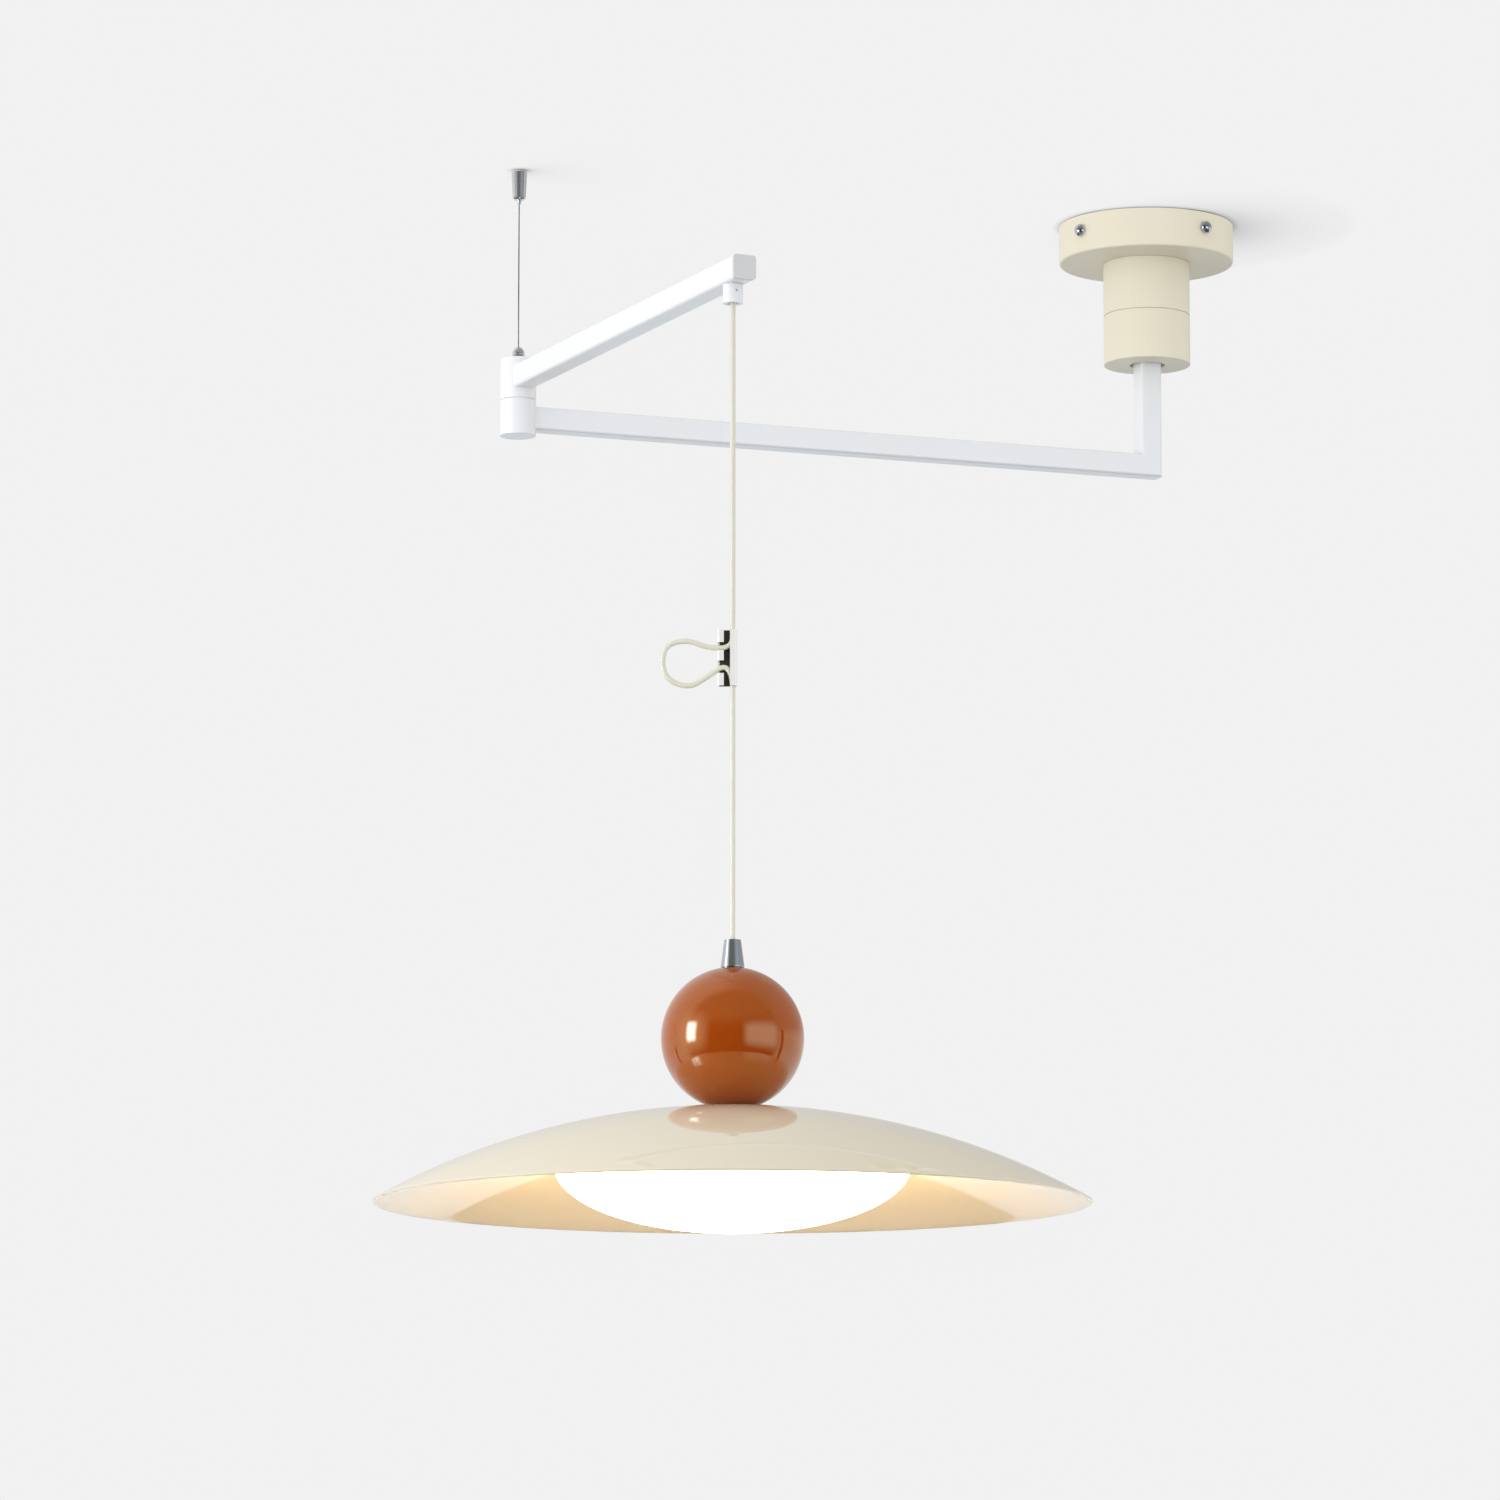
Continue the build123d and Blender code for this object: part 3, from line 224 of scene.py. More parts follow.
creamPaint = {
    "fixed": {"Coat Weight": 0.06, "Coat Roughness": 0.1, "Specular IOR Level": 0.1},
    "pale": (0.835, 0.785, 0.640), "deep": (0.805, 0.755, 0.600), "driftScale": 22,
    "gloss": (0.30, 0.40), "patchScale": 60,
    "peelScale": 700, "peelStrength": 0.06, "peelDepth": 0.0002,
}
whitePaint = {
    "fixed": {"Coat Weight": 0.7, "Coat Roughness": 0.12},
    "pale": (0.86, 0.876, 0.898), "deep": (0.835, 0.852, 0.875), "driftScale": 18,
    "gloss": (0.34, 0.44), "patchScale": 50,
    "peelScale": 800, "peelStrength": 0.15, "peelDepth": 0.0002,
}
shadePaint = {
    "fixed": {"Coat Weight": 1.0, "Coat Roughness": 0.02, "Coat IOR": 2.0, "Specular IOR Level": 0.0},
    "pale": (0.80, 0.725, 0.56), "deep": (0.775, 0.695, 0.525), "driftScale": 9,
    "gloss": (0.2, 0.28), "patchScale": 30,
    "peelScale": 400, "peelStrength": 0.02, "peelDepth": 0.0002,
}
panPaint = {
    "fixed": {},
    "pale": (0.82, 0.81, 0.78), "deep": (0.78, 0.77, 0.74), "driftScale": 12,
    "gloss": (0.45, 0.55), "patchScale": 40,
    "peelScale": 700, "peelStrength": 0.2, "peelDepth": 0.0002,
}
ballLacquer = {
    "fixed": {
        "Coat Weight": 0.18, "Coat Roughness": 0.02, "IOR": 1.9, "Specular Tint": (1.0, 0.9, 0.4, 1),
    },
    "pale": (0.35, 0.053, 0.001), "deep": (0.325, 0.047, 0.001), "driftScale": 26,
    "gloss": (0.02, 0.06), "patchScale": 45,
    "peelScale": 300, "peelStrength": 0.03, "peelDepth": 0.0002,
}
polishedChrome = {
    "fixed": {"Metallic": 1.0},
    "pale": (0.54, 0.56, 0.575), "deep": (0.48, 0.50, 0.515), "cloudScale": 160, "gloss": (0.06, 0.16),
    "lineStretch": (1, 1, 60), "lineScale": 60, "lineStrength": 0.06, "lineDepth": 0.0001,
}
clipNickel = {
    "fixed": {"Metallic": 0.15},
    "pale": (0.95, 0.945, 0.92), "deep": (0.89, 0.885, 0.85), "cloudScale": 220, "gloss": (0.16, 0.30),
    "lineStretch": (1, 1, 0.05), "lineScale": 2600, "lineStrength": 0.08, "lineDepth": 0.0001,
}
brightChrome = {
    "fixed": {"Metallic": 0.85},
    "pale": (0.66, 0.67, 0.68), "deep": (0.60, 0.61, 0.62), "cloudScale": 180, "gloss": (0.06, 0.12),
    "lineStretch": (1, 1, 60), "lineScale": 60, "lineStrength": 0.06, "lineDepth": 0.0001,
}
zincSteel = {
    "fixed": {"Metallic": 1.0},
    "pale": (0.60, 0.61, 0.63), "deep": (0.46, 0.48, 0.52), "cloudScale": 90, "gloss": (0.25, 0.45),
    "lineStretch": (1, 1, 8), "lineScale": 300, "lineStrength": 0.08, "lineDepth": 0.0001,
}
wireSteel = {
    "fixed": {"Metallic": 1.0},
    "pale": (0.36, 0.36, 0.36), "deep": (0.28, 0.28, 0.285), "cloudScale": 400, "gloss": (0.42, 0.56),
    "lineStretch": (1, 1, 1), "lineScale": 900, "lineStrength": 0.05, "lineDepth": 0.0001,
}
boardAluminium = {
    "fixed": {"Metallic": 0.2},
    "pale": (0.84, 0.84, 0.83), "deep": (0.78, 0.78, 0.77), "cloudScale": 60, "gloss": (0.35, 0.5),
    "lineStretch": (1, 1, 1), "lineScale": 500, "lineStrength": 0.05, "lineDepth": 0.0001,
}
cordJacket = {
    "fixed": {"Coat Weight": 0.1, "Coat Roughness": 0.25},
    "pale": (0.75, 0.74, 0.62), "deep": (0.69, 0.68, 0.56), "cloudScale": 260,
    "gloss": (0.32, 0.46), "grainScale": 2400, "grainStrength": 0.06, "grainDepth": 0.0001,
}
bearingNylon = {
    "fixed": {},
    "pale": (0.78, 0.76, 0.70), "deep": (0.72, 0.70, 0.63), "cloudScale": 90,
    "gloss": (0.4, 0.55), "grainScale": 1500, "grainStrength": 0.15, "grainDepth": 0.0001,
}
terminalPlastic = {
    "fixed": {},
    "pale": (0.74, 0.73, 0.68), "deep": (0.68, 0.67, 0.62), "cloudScale": 120,
    "gloss": (0.35, 0.5), "grainScale": 1600, "grainStrength": 0.15, "grainDepth": 0.0001,
}
# painted shade: a near-black liner at the back of the clip's slot stands in for the shade inside the slot
paintedSlotShade = {
    "fixed": {},
    "pale": (0.052, 0.038, 0.022), "deep": (0.028, 0.020, 0.011), "cloudScale": 200,
    "gloss": (0.5, 0.7), "grainScale": 1800, "grainStrength": 0.3, "grainDepth": 0.0001,
}
driverPlastic = {
    "fixed": {},
    "pale": (0.80, 0.80, 0.79), "deep": (0.75, 0.75, 0.74), "cloudScale": 70,
    "gloss": (0.4, 0.55), "grainScale": 1400, "grainStrength": 0.2, "grainDepth": 0.0001,
}
ledLens = {
    "fixed": {"Emission Color": (1.0, 0.86, 0.62, 1), "Emission Strength": 2.0},
    "pale": (0.85, 0.78, 0.5), "deep": (0.8, 0.72, 0.42), "cloudScale": 300,
    "gloss": (0.2, 0.3), "grainScale": 1400, "grainStrength": 0.1, "grainDepth": 0.0001,
}
opalPlastic = {
    "fixed": {"Emission Strength": 29, "Coat Weight": 0.3},
    "pale": (0.86, 0.85, 0.82), "deep": (0.83, 0.82, 0.79), "cloudScale": 24,
    "gloss": (0.25, 0.35), "grainScale": 900, "grainStrength": 0.05, "grainDepth": 0.0001,
}
plugPlastic = {
    "fixed": {"Coat Weight": 0.1, "Coat Roughness": 0.2},
    "pale": (0.68, 0.69, 0.70), "deep": (0.64, 0.65, 0.665), "cloudScale": 160,
    "gloss": (0.35, 0.5), "grainScale": 1600, "grainStrength": 0.15, "grainDepth": 0.0001,
}

# the slots of the record, and two finishes of the scene's own
finishes = {
    "cream_paint": sprayedPaint("creamPaint", creamPaint),
    "white_paint": sprayedPaint("whitePaint", whitePaint),
    "shade_paint": sprayedPaint("shadePaint", shadePaint),
    "pan_paint": sprayedPaint("panPaint", panPaint),
    "ball_lacquer": sprayedPaint("ballLacquer", ballLacquer),
    "chrome": platedMetal("polishedChrome", polishedChrome),
    "nickel": platedMetal("clipNickel", clipNickel),
    "zinc_steel": platedMetal("zincSteel", zincSteel),
    "wire_steel": platedMetal("wireSteel", wireSteel),
    "board_aluminium": platedMetal("boardAluminium", boardAluminium),
    "cord_jacket": mouldedPlastic("cordJacket", cordJacket),
    "bearing_nylon": mouldedPlastic("bearingNylon", bearingNylon),
    "terminal_plastic": mouldedPlastic("terminalPlastic", terminalPlastic),
    "liner_rubber": mouldedPlastic("paintedSlotShade", paintedSlotShade),
    "driver_plastic": mouldedPlastic("driverPlastic", driverPlastic),
    "led_lens": mouldedPlastic("ledLens", ledLens),
    "opal_plastic": mouldedPlastic("opalPlastic", opalPlastic),
    "plug_plastic": mouldedPlastic("plugPlastic", plugPlastic),
    "bright_chrome": platedMetal("brightChrome", brightChrome),
}
for node in frame["nodes"].values():
    for spot in node.material_slots:
        spot.material = finishes[spot.material.name]

# nodes that look unlike the rest of their slot
ownFinishes = {
    "arm_end_plug": "plug_plastic", "cord_lock_screw": "white_paint", "ceiling_anchor": "bright_chrome",
    "wire_grip": "bright_chrome", "anchor_ferrule": "zinc_steel",
}
for name, finish in ownFinishes.items():
    frame["nodes"][name].material_slots[0].material = finishes[finish]
print("finishes made:", len(finishes))


# a piece gets its finish, rides on a body and stands for its nodes
sharpAngle = radians(40)


def settle(piece, finish, body, nodes):
    scene.collection.objects.link(piece)
    piece.data.materials.append(finishes[finish])
    piece.data.shade_smooth()
    piece.data.set_sharp_from_angle(angle=sharpAngle)
    if body:  # a piece that spans a joint has none, and is left unattached
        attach(piece, body)
    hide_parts(*nodes)
    return piece


def addPiece(name, mesh, finish, body, nodes):
    data = bpy.data.meshes.new(name)
    mesh.to_mesh(data)
    mesh.free()
    return settle(bpy.data.objects.new(name, data), finish, body, nodes)


# a route as one open NURBS spline, with the points as its controls
def routeCurve(name, points, radius, fineness, roundness):
    curve = bpy.data.curves.new(name, "CURVE")
    curve.dimensions = "3D"
    spline = curve.splines.new("NURBS")
    spline.points.add(len(points) - 1)
    for control, point in zip(spline.points, points):
        control.co = (*point, 1)
    spline.order_u = 3
    spline.use_endpoint_u = True
    curve.resolution_u = fineness
    curve.bevel_depth = radius
    curve.bevel_resolution = roundness
    curve.use_fill_caps = radius > 0
    return bpy.data.objects.new(name, curve)


# a curve's own mesh: its line where it has no bevel, and otherwise its tube
def routeMesh(name, points, radius, fineness=16, roundness=5):
    carrier = routeCurve(name + "Route", points, radius, fineness, roundness)
    scene.collection.objects.link(carrier)
    bpy.context.view_layer.update()
    shaped = carrier.evaluated_get(bpy.context.evaluated_depsgraph_get())
    data = bpy.data.meshes.new_from_object(shaped)
    bpy.data.objects.remove(carrier)
    return data


def routePath(name, points, fineness=16):
    return [vertex.co.copy() for vertex in routeMesh(name, points, 0, fineness).vertices]


# hanging cord: socket to clip, round the spare loop and out of the clip
hangingCord = {
    "diameter": 0.003, "length": 0.3045, "top": -0.1455, "middle": -0.240, "socketMouth": -0.1480,
    "bendStart": -0.1500, "bendEnd": -0.1610, "bendRings": 12, "cutDistance": 1e-6,
    "clipCentre": -0.3515, "heading": radians(159),
    "loop": (  # out and up from the middle of the clip, in mm
        (0, 17), (0.2, 6.0), (13, 5.2), (26, 10.6), (39.3, 6.6), (39.3, -11.2),
        (25, -17.6), (13.5, -10.4), (4.8, -4.0), (0.4, -9.4), (0, -17),
    ),
}


# a point of the cord by its height and how far out it stands towards the loop
def hangingPoint(height, out=0):
    way = Vector((cos(hangingCord["heading"]), sin(hangingCord["heading"]), 0))
    return hangSpot + out * way + Vector((0, 0, height))


upperRoute = [hangingPoint(hangingCord["top"]), hangingPoint(hangingCord["middle"])]
for out, up in hangingCord["loop"]:
    upperRoute.append(hangingPoint(hangingCord["clipCentre"] + up * mm, out * mm))
mesh = bmesh.new()
mesh.from_mesh(routeMesh("upperCord", upperRoute, hangingCord["diameter"] / 2))
for ring in range(hangingCord["bendRings"] + 1):  # extra rings where the cord bends below the socket
    share = ring / hangingCord["bendRings"]
    cut = hangingPoint(hangingCord["bendStart"] * (1 - share) + hangingCord["bendEnd"] * share)
    bmesh.ops.bisect_plane(
        mesh, geom=mesh.verts[:] + mesh.edges[:] + mesh.faces[:], dist=hangingCord["cutDistance"],
        plane_co=cut, plane_no=(0, 0, 1),
    )
upperCord = addPiece("upperCord", mesh, "cord_jacket", None, ("cord_entry", "cord_upper", "cord_loop"))
hangingPoint(hangingCord["bendStart"])
hangingPoint(hangingCord["bendEnd"])
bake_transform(upperCord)
hangingPoint(hangingCord["socketMouth"])
routePath("upperCord", upperRoute)

# lower cord: clip to grip, which on the lamp shortens as the pendant is raised; here it is drawn at rest
lowerCord = {"top": -0.3685, "middle": -0.440, "bottom": -0.5163, "travel": 0.12, "diameter": 0.003}
lowerRoute = [hangingPoint(lowerCord[part]) for part in ("top", "middle", "bottom")]
lowerTube = routeMesh("lowerCord", lowerRoute, lowerCord["diameter"] / 2)
lowerPiece = bpy.data.objects.new("lowerCord", lowerTube)
settle(lowerPiece, "cord_jacket", "hanging_cord", ("cord_lower",))
hangingPoint(lowerCord["top"])
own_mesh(lowerPiece)
hangingPoint(lowerCord["top"])
routePath("lowerCord", lowerRoute)

# stay wire: one straight strand with six more laid round it
stayWire = {
    "layLength": 0.009, "outerStrands": 6, "strandsAcross": 3, "fineness": 120,
    "coreFineness": 1, "laidFineness": 2, "roundness": 1,
}
low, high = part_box("steel_wire")
wireFoot = Vector(((low.x + high.x) / 2, (low.y + high.y) / 2, low.z))
wireHead = Vector((wireFoot.x, wireFoot.y, high.z))
wireDiameter = high.x - low.x
strandRadius = wireDiameter / (2 * stayWire["strandsAcross"])
wireRoute = [wireFoot, (wireFoot + wireHead) / 2, wireHead]
wirePath = routePath("stayWire", wireRoute, stayWire["fineness"])
mesh = bmesh.new()
mesh.from_mesh(routeMesh(
    "coreStrand", wirePath, strandRadius, stayWire["coreFineness"], stayWire["roundness"],
))
for strand in range(stayWire["outerStrands"]):
    start = 2 * pi * strand / stayWire["outerStrands"]
    turns = [start + 2 * pi * (point.z - low.z) / stayWire["layLength"] for point in wirePath]
    laid = [
        point + 2 * strandRadius * Vector((cos(turn), sin(turn), 0))
        for point, turn in zip(wirePath, turns)
    ]
    mesh.from_mesh(routeMesh(
        "laidStrand", laid, strandRadius, stayWire["laidFineness"], stayWire["roundness"],
    ))
wirePiece = addPiece("stayWire", mesh, "wire_steel", "main_arm", ("steel_wire",))

# supply lead: out of the terminal block and down into the neck
supplyLead = {
    "diameter": 0.003, "length": 0.0484, "heading": radians(108),
    "route": ((20.5, -8), (18, -8), (0, -8), (0, -30), (0, -39.65)),  # out and up, in mm
}
leadWay = Vector((cos(supplyLead["heading"]), sin(supplyLead["heading"]), 0))
leadRoute = [out * mm * leadWay + Vector((0, 0, up * mm)) for out, up in supplyLead["route"]]
leadTube = routeMesh("supplyLead", leadRoute, supplyLead["diameter"] / 2)
leadPiece = bpy.data.objects.new("supplyLead", leadTube)
settle(leadPiece, "cord_jacket", "canopy", ("supply_lead",))
routePath("supplyLead", leadRoute)
print("cords laid")


# a profile of vertices joined by edges, out from the turning axis
def drawLine(mesh, points):
    verts = [mesh.verts.new(point) for point in points]
    for pair in zip(verts, verts[1:]):
        mesh.edges.new(pair)
    return verts


# carries one vertex round a centre, in the upright plane of the profile, and returns the arc's last vertex
def drawArc(mesh, vert, centre, angle, steps):
    arc = bmesh.ops.spin(
        mesh, geom=[vert], cent=centre, axis=(0, 1, 0), dvec=(0, 0, 0), angle=angle, steps=steps,
    )
    return [part for part in arc["geom_last"] if isinstance(part, bmesh.types.BMVert)][0]


# turns the whole profile about the upright axis through a spot
mergeDistance = 1e-6


def turnProfile(mesh, spot, steps):
    bmesh.ops.spin(
        mesh, geom=mesh.verts[:] + mesh.edges[:], cent=spot, axis=(0, 0, 1), dvec=(0, 0, 0),
        angle=2 * pi, steps=steps, use_merge=True,
    )
    bmesh.ops.remove_doubles(mesh, verts=mesh.verts[:], dist=mergeDistance)
    bmesh.ops.recalc_face_normals(mesh, faces=mesh.faces[:])


# rounds the edges where two faces meet at more than the least angle
def roundEdges(mesh, radius, segments, least):
    shared = [edge for edge in mesh.edges if len(edge.link_faces) == 2]
    sharp = [edge for edge in shared if edge.calc_face_angle() > least]
    bmesh.ops.bevel(
        mesh, geom=sharp, offset=radius, segments=segments, profile=0.5, affect="EDGES",
        material=-1, clamp_overlap=True,
    )


# ball: a sphere with a flat for the grip and a seat on the shade
ballShape = {
    "centreHeight": -0.56665, "segments": 160, "rings": 112, "cutDistance": 1e-7,
    "edge": 0.3 * mm, "edgeSegments": 3, "edgeAngle": radians(12),
}
low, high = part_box("ball")
ballRadius = (high.x - low.x) / 2
ballCentre = hangSpot + Vector((0, 0, ballShape["centreHeight"]))
mesh = bmesh.new()
bmesh.ops.create_uvsphere(
    mesh, u_segments=ballShape["segments"], v_segments=ballShape["rings"], radius=ballRadius,
    matrix=Matrix.Translation(ballCentre),
)
for height, way in ((high.z, 1), (low.z, -1)):
    bmesh.ops.bisect_plane(
        mesh, geom=mesh.verts[:] + mesh.edges[:] + mesh.faces[:], dist=ballShape["cutDistance"],
        plane_co=(0, 0, height), plane_no=(0, 0, way), clear_outer=True,
    )
    bmesh.ops.holes_fill(mesh, edges=[edge for edge in mesh.edges if edge.is_boundary], sides=0)
roundEdges(mesh, ballShape["edge"], ballShape["edgeSegments"], ballShape["edgeAngle"])
addPiece("ball", mesh, "ball_lacquer", "pendant", ("ball",))

# shade: a spun dish of one radius with a rounded rim
shadeShape = {
    "depth": 0.0525, "flat": 0.00975, "hole": 0.00502, "wall": 0.001, "arcSteps": 48, "steps": 192,
    "rim": 0.15 * mm, "rimSegments": 4, "rimAngle": radians(50),
}
low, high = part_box("shade")
shadeRadius = (high.x - low.x) / 2
rise = (shadeRadius**2 - shadeShape["flat"]**2 + shadeShape["depth"]**2) / (2 * shadeShape["depth"])
dishRadius = (rise**2 + shadeShape["flat"]**2) ** 0.5
dishCentre = hangSpot + Vector((0, 0, high.z - rise))
sweep = asin(shadeRadius / dishRadius) - asin(shadeShape["flat"] / dishRadius)
apex = hangSpot + Vector((0, 0, high.z))
flatSpots = [apex + Vector((shadeShape[part], 0, 0)) for part in ("hole", "flat")]
mesh = bmesh.new()
drawArc(mesh, drawLine(mesh, flatSpots)[-1], dishCentre, sweep, shadeShape["arcSteps"])
turnProfile(mesh, hangSpot, shadeShape["steps"])
bmesh.ops.reverse_faces(mesh, faces=mesh.faces[:])  # so that the wall goes inwards
bmesh.ops.solidify(mesh, geom=mesh.faces[:], thickness=shadeShape["wall"])
roundEdges(mesh, shadeShape["rim"], shadeShape["rimSegments"], shadeShape["rimAngle"])
addPiece("shade", mesh, "shade_paint", "pendant", ("shade",))

# diffuser: an opal bowl, rounded over into a straight collar
bowlShape = {
    "depth": 0.0365, "shoulder": 0.011, "collar": 0.007, "wall": 0.002,
    "arcSteps": 48, "shoulderSteps": 12, "steps": 160,
}
low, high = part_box("diffuser")
bowlRadius = (high.x - low.x) / 2
equator = hangSpot + Vector((0, 0, low.z + bowlShape["depth"]))
mesh = bmesh.new()
side = mesh.verts.new(equator + Vector((bowlRadius, 0, 0)))
drawArc(mesh, side, equator, radians(90), bowlShape["arcSteps"])
flatten = (1, 1, bowlShape["depth"] / bowlRadius)
bmesh.ops.scale(mesh, vec=flatten, space=Matrix.Translation(-equator), verts=mesh.verts[:])
shoulder = equator + Vector((bowlRadius - bowlShape["shoulder"], 0, 0))
top = drawArc(mesh, side, shoulder, radians(-90), bowlShape["shoulderSteps"])
collar = bmesh.ops.extrude_vert_indiv(mesh, verts=[top])["verts"]
bmesh.ops.translate(mesh, vec=(0, 0, bowlShape["collar"]), verts=collar)
turnProfile(mesh, hangSpot, bowlShape["steps"])
bmesh.ops.solidify(mesh, geom=mesh.faces[:], thickness=bowlShape["wall"])
addPiece("diffuser", mesh, "opal_plastic", "pendant", ("diffuser",))

# the bowl is white where it is seen, and its shoulder throws warm light into the shade;
# the edges are heights from the equator
bowlGlow = {
    "seen": (0.17, 0.142, 0.106), "shoulder": (1.02, 0.71, 0.38), "top": (0.20, 0.14, 0.08),
    "shoulderEdge": (-0.0115, -0.0085), "topEdge": (0.001, 0.006),
}
opal = finishes["opal_plastic"].node_tree
maker = Link(opal)
height = maker.node("SeparateXYZ", None, {0: maker.node("TexCoord", out="Object")}, out="Z") - equator.z
onShoulder = ease(maker, height, *bowlGlow["shoulderEdge"])
onTop = ease(maker, height, *bowlGlow["topEdge"])
glow = tint(maker, onShoulder, bowlGlow["seen"], bowlGlow["shoulder"])
glow = tint(maker, onTop, glow, bowlGlow["top"])
feed(opal.nodes["Principled BSDF"], "Emission Color", glow)
print("ball, shade and diffuser turned")

# camera at the photograph's place; its heading and pitch are in degrees
photoView = {"spot": (-1.7290, -3.8179, -0.9895), "heading": -20.93, "pitch": 8.889, "lens": 162.2}
camera = bpy.data.objects.new("photoCamera", bpy.data.cameras.new("photoCamera"))
camera.data.lens = photoView["lens"]
camera.location = photoView["spot"]
camera.rotation_euler = (radians(90 + photoView["pitch"]), 0, radians(photoView["heading"]))
scene.collection.objects.link(camera)
scene.camera = camera
forward = Vector((-sin(camera.rotation_euler.z), cos(camera.rotation_euler.z), 0))
rightward = Vector((forward.y, -forward.x, 0))

# soft boxes, aimed at the ball; reflections show the panels below in their place
softBoxes = {
    "keyPanel": {"way": (-0.982, 0.006, 0.16), "far": 1.3, "size": (0.7, 0.7), "power": 6.6},
    "fillPanel": {"way": (0.510, -0.859, 0.05), "far": 2.2, "size": (1.1, 1.1), "power": 4.8},
}
for name, box in softBoxes.items():
    lamp = bpy.data.lights.new(name, "AREA")
    lamp.shape = "RECTANGLE"
    lamp.size, lamp.size_y = box["size"]
    lamp.energy = box["power"]
    holder = bpy.data.objects.new(name, lamp)
    way = Vector(box["way"]).normalized()
    holder.location = ballCentre + box["far"] * way
    holder.rotation_euler = way.to_track_quat("Z", "Y").to_euler()
    holder.visible_glossy = False
    scene.collection.objects.link(holder)

# studio surround: pale behind the object and, in reflections, a dim room on the camera's side;
# the edges are parts of the ray's direction, and the levels go from straight down to straight up
surround = {
    "shown": (0.880, 0.880, 0.878), "ground": (0.12, 0.11, 0.10), "groundEdge": (-0.551, -0.541),
    "lowBackdrop": (0.86, 0.98, 1.10), "lowEdge": (-0.30, -0.05),
    "room": (0.07, 0.07, 0.07), "roomAbove": (0.34, 0.37, 0.31), "roomEdge": (0.05, 0.35),
    "roomTop": (0.15, 0.60), "dimBackdrop": (0.50, 0.49, 0.48), "dimAbove": (0.05, 0.25),
    "dimAcross": (-0.35, 0.25), "dimSide": (0.91, 0.91, 0.91), "sideAcross": (-0.8, 0.8),
    "levels": ((0.0, 0.34), (0.2, 0.385), (0.42, 1.15), (0.55, 1.23), (0.75, 0.87), (1.0, 0.81)),
}
world = bpy.data.worlds.new("studio")
scene.world = world
world.use_nodes = True
world.node_tree.nodes.clear()
maker = Link(world.node_tree)
aim = maker.node("TexCoord")  # in the world, the direction of the ray
height = maker.node("SeparateXYZ", None, {0: aim}, out="Z")
across = along(maker, aim, rightward)
seenDirectly = maker.node("LightPath", out="Is Camera Ray")
glossyRay = maker.node("LightPath", out="Is Glossy Ray")
mirrored = maker.maths("MAXIMUM", glossyRay, maker.node("LightPath", out="Is Transmission Ray"))

# what reflections show
mirror = tint(maker, ease(maker, height, *surround["lowEdge"]), surround["lowBackdrop"], surround["shown"])
upperRight = ease(maker, height, *surround["dimAbove"]) * ease(maker, across, *surround["dimAcross"])
mirror = tint(maker, upperRight, mirror, surround["dimBackdrop"])
roomTone = tint(maker, ease(maker, height, *surround["roomTop"]), surround["room"], surround["roomAbove"])
nearSide = ease(maker, along(maker, aim, -forward), *surround["roomEdge"])
mirror = tint(maker, nearSide, mirror, roomTone)
onGround = 1 - ease(maker, height, *surround["groundEdge"])
mirror = tint(maker, onGround, mirror, surround["ground"])

# what lights the object, a little dimmer from the right
stops = [(place, (level, level, level, 1)) for place, level in surround["levels"]]
level = maker.node("ValToRGB", {"stops": stops}, {0: 0.5 * height + 0.5})
lit = tint(maker, ease(maker, across, *surround["sideAcross"]), level, surround["dimSide"], "MULTIPLY")
colour = tint(maker, mirrored, lit, mirror)
colour = tint(maker, seenDirectly, colour, surround["shown"])
maker.node("OutputWorld", None, {"Surface": maker.node("Background", None, {"Color": colour})})


def startSurface(name):
    surface = bpy.data.materials.new(name)
    surface.use_nodes = True
    surface.node_tree.nodes.clear()
    return surface, Link(surface.node_tree)


# a stage mesh whose shader shows where its mask is 1 and is clear where it is 0
def addStage(name, mesh, surface, maker, mask, shader):
    clear = maker.node("BsdfTransparent")
    masked = maker.node("MixShader", None, {0: mask, 1: clear, 2: shader})
    maker.node("OutputMaterial", None, {"Surface": masked})
    data = bpy.data.meshes.new(name)
    mesh.to_mesh(data)
    mesh.free()
    data.materials.append(surface)
    piece = bpy.data.objects.new(name, data)
    scene.collection.objects.link(piece)
    return piece


# what the soft boxes look like in a reflection: planes that only glossy rays meet;
# half and soft are shares of the distance, and flags are dark
panels = {
    "leftHalo": {
        "way": (-0.982, 0.006, 0.10), "far": 1.32, "half": (0.42, 0.40), "soft": 0.32,
        "tone": (1.5, 1.5, 1.5),
    },
    "leftBox": {
        "way": (-0.982, 0.006, 0.12), "far": 1.30, "half": (0.14, 0.21), "soft": 0.08,
        "tone": (10, 12, 19),
    },
    "rightBox": {
        "way": (0.46, -0.888, 0.04), "far": 2.2, "half": (0.53, 0.30), "soft": 0.17,
        "tone": (1.2, 1.45, 1.85),
    },
    "leftFlag": {
        "way": (-0.80, 0.60, -0.30), "far": 1.20, "half": (0.03, 0.18), "soft": 0.02,
        "tone": (0.08, 0.08, 0.08),
    },
    "rightFlag": {
        "way": (0.914, -0.405, -0.12), "far": 2.0, "half": (0.05, 0.30), "soft": 0.02,
        "tone": (0.05, 0.05, 0.05),
    },
}
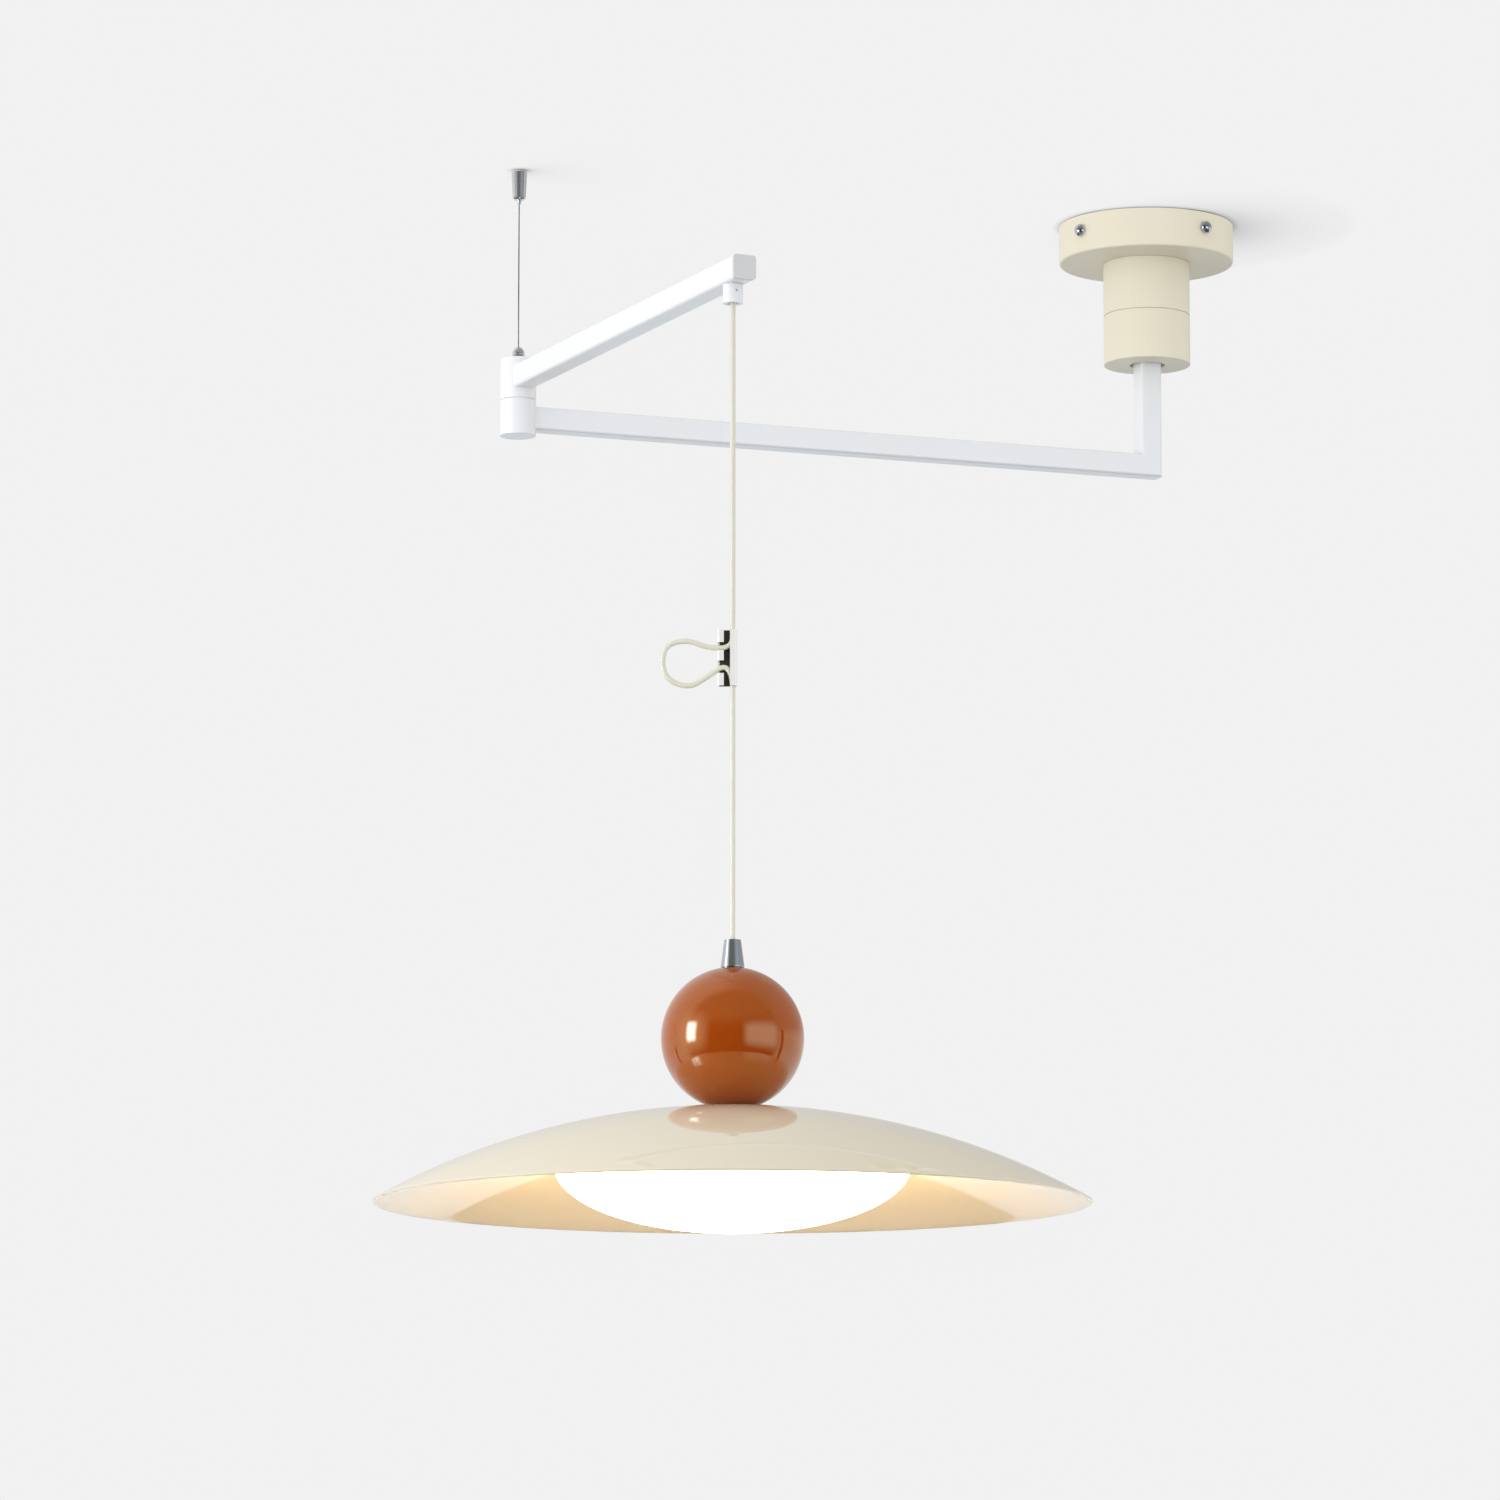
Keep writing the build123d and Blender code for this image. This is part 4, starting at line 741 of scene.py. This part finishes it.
for name, panel in panels.items():
    way = Vector(panel["way"]).normalized()
    centre = ballCentre + panel["far"] * way
    mesh = bmesh.new()
    bmesh.ops.create_grid(
        mesh, x_segments=1, y_segments=1, size=panel["far"],
        matrix=Matrix.Translation(centre) @ way.to_track_quat("Z", "Y").to_matrix().to_4x4(),
    )
    surface, maker = startSurface(name)
    place = maker.node("TexCoord", out="Object")
    offset = maker.node("VectorMath", {"operation": "SUBTRACT"}, {0: place, 1: centre})
    sideways = way.cross(Vector((0, 0, 1))).normalized()
    mask = 1
    for axis, half in zip((sideways, sideways.cross(way)), panel["half"]):
        far = maker.maths("ABSOLUTE", along(maker, offset, axis / panel["far"]), 0)
        mask = mask * (1 - ease(maker, far, half - panel["soft"], half + panel["soft"]))
    light = maker.node("Emission", None, {"Color": (*panel["tone"], 1)})
    sheet = addStage(name, mesh, surface, maker, mask, light)
    sheet.visible_camera = False
    sheet.visible_diffuse = False
    sheet.visible_shadow = False
    sheet.visible_transmission = False

# floor and ceiling: pale discs that fade into the surround and show only from the object's side;
# the ceiling has a painted cast shadow on the side away from the light, and a thin painted contact shadow
# at each contact
stageDiscs = {
    "floor": {"height": -1.2, "turn": 0, "radius": 2.6, "solid": 0.8, "tone": (0.7, 0.7, 0.7)},
    "ceiling": {
        "height": 0.0006, "turn": pi, "radius": 0.95, "solid": 0.45,
        "shade": 0.6, "reach": 0.08, "shadeSamples": 12,
        "castAcross": -0.85, "castBack": -0.35, "castDown": -0.3,
        "line": 0.5, "lineReach": 0.005, "lineSamples": 8,
    },
}
discSegments = 96
black = (0, 0, 0)
for name, disc in stageDiscs.items():
    centre = Vector((hangSpot.x / 2, hangSpot.y / 2, disc["height"]))
    mesh = bmesh.new()
    bmesh.ops.create_circle(
        mesh, cap_ends=True, segments=discSegments, radius=disc["radius"],
        matrix=Matrix.Translation(centre) @ Matrix.Rotation(disc["turn"], 4, "X"),
    )
    surface, maker = startSurface(name)
    place = maker.node("TexCoord", out="Object")
    reach = maker.node("VectorMath", {"operation": "DISTANCE"}, {0: place, 1: centre}, out="Value")
    near = 1 - ease(maker, reach, disc["solid"], disc["radius"])
    front = 1 - maker.node("NewGeometry", out="Backfacing")
    seen = near * maker.node("LightPath", out="Is Camera Ray") * front
    if name == "floor":
        plasterAndPaintedShadow = maker.node("BsdfDiffuse", None, {"Color": (*disc["tone"], 1)})
    else:
        # painted shadow: the ceiling shows the surround colour, darkened where ambient occlusion finds the
        # object close by, more on the side away from the light, and in a thin line at each contact
        lightWay = disc["castAcross"] * rightward + disc["castBack"] * forward
        lightWay.z = disc["castDown"]
        towards = maker.node("CombineXYZ", None, dict(enumerate(lightWay.normalized())))
        shadeLook = {"Distance": disc["reach"], "Normal": towards}
        clearSky = maker.node("AmbientOcclusion", {"samples": disc["shadeSamples"]}, shadeLook, out="AO")
        lineLook = {"Distance": disc["lineReach"]}
        clearEdge = maker.node("AmbientOcclusion", {"samples": disc["lineSamples"]}, lineLook, out="AO")
        paintedShadow = disc["shade"] * (1 - clearSky) + disc["line"] * (1 - clearEdge)
        plasterAndPaintedShadow = maker.node("Emission", None, {"Color": tint(maker, paintedShadow, surround["shown"], black)})
    addStage(name, mesh, surface, maker, seen, plasterAndPaintedShadow)
print("camera and light set")

bpy.context.view_layer.update()
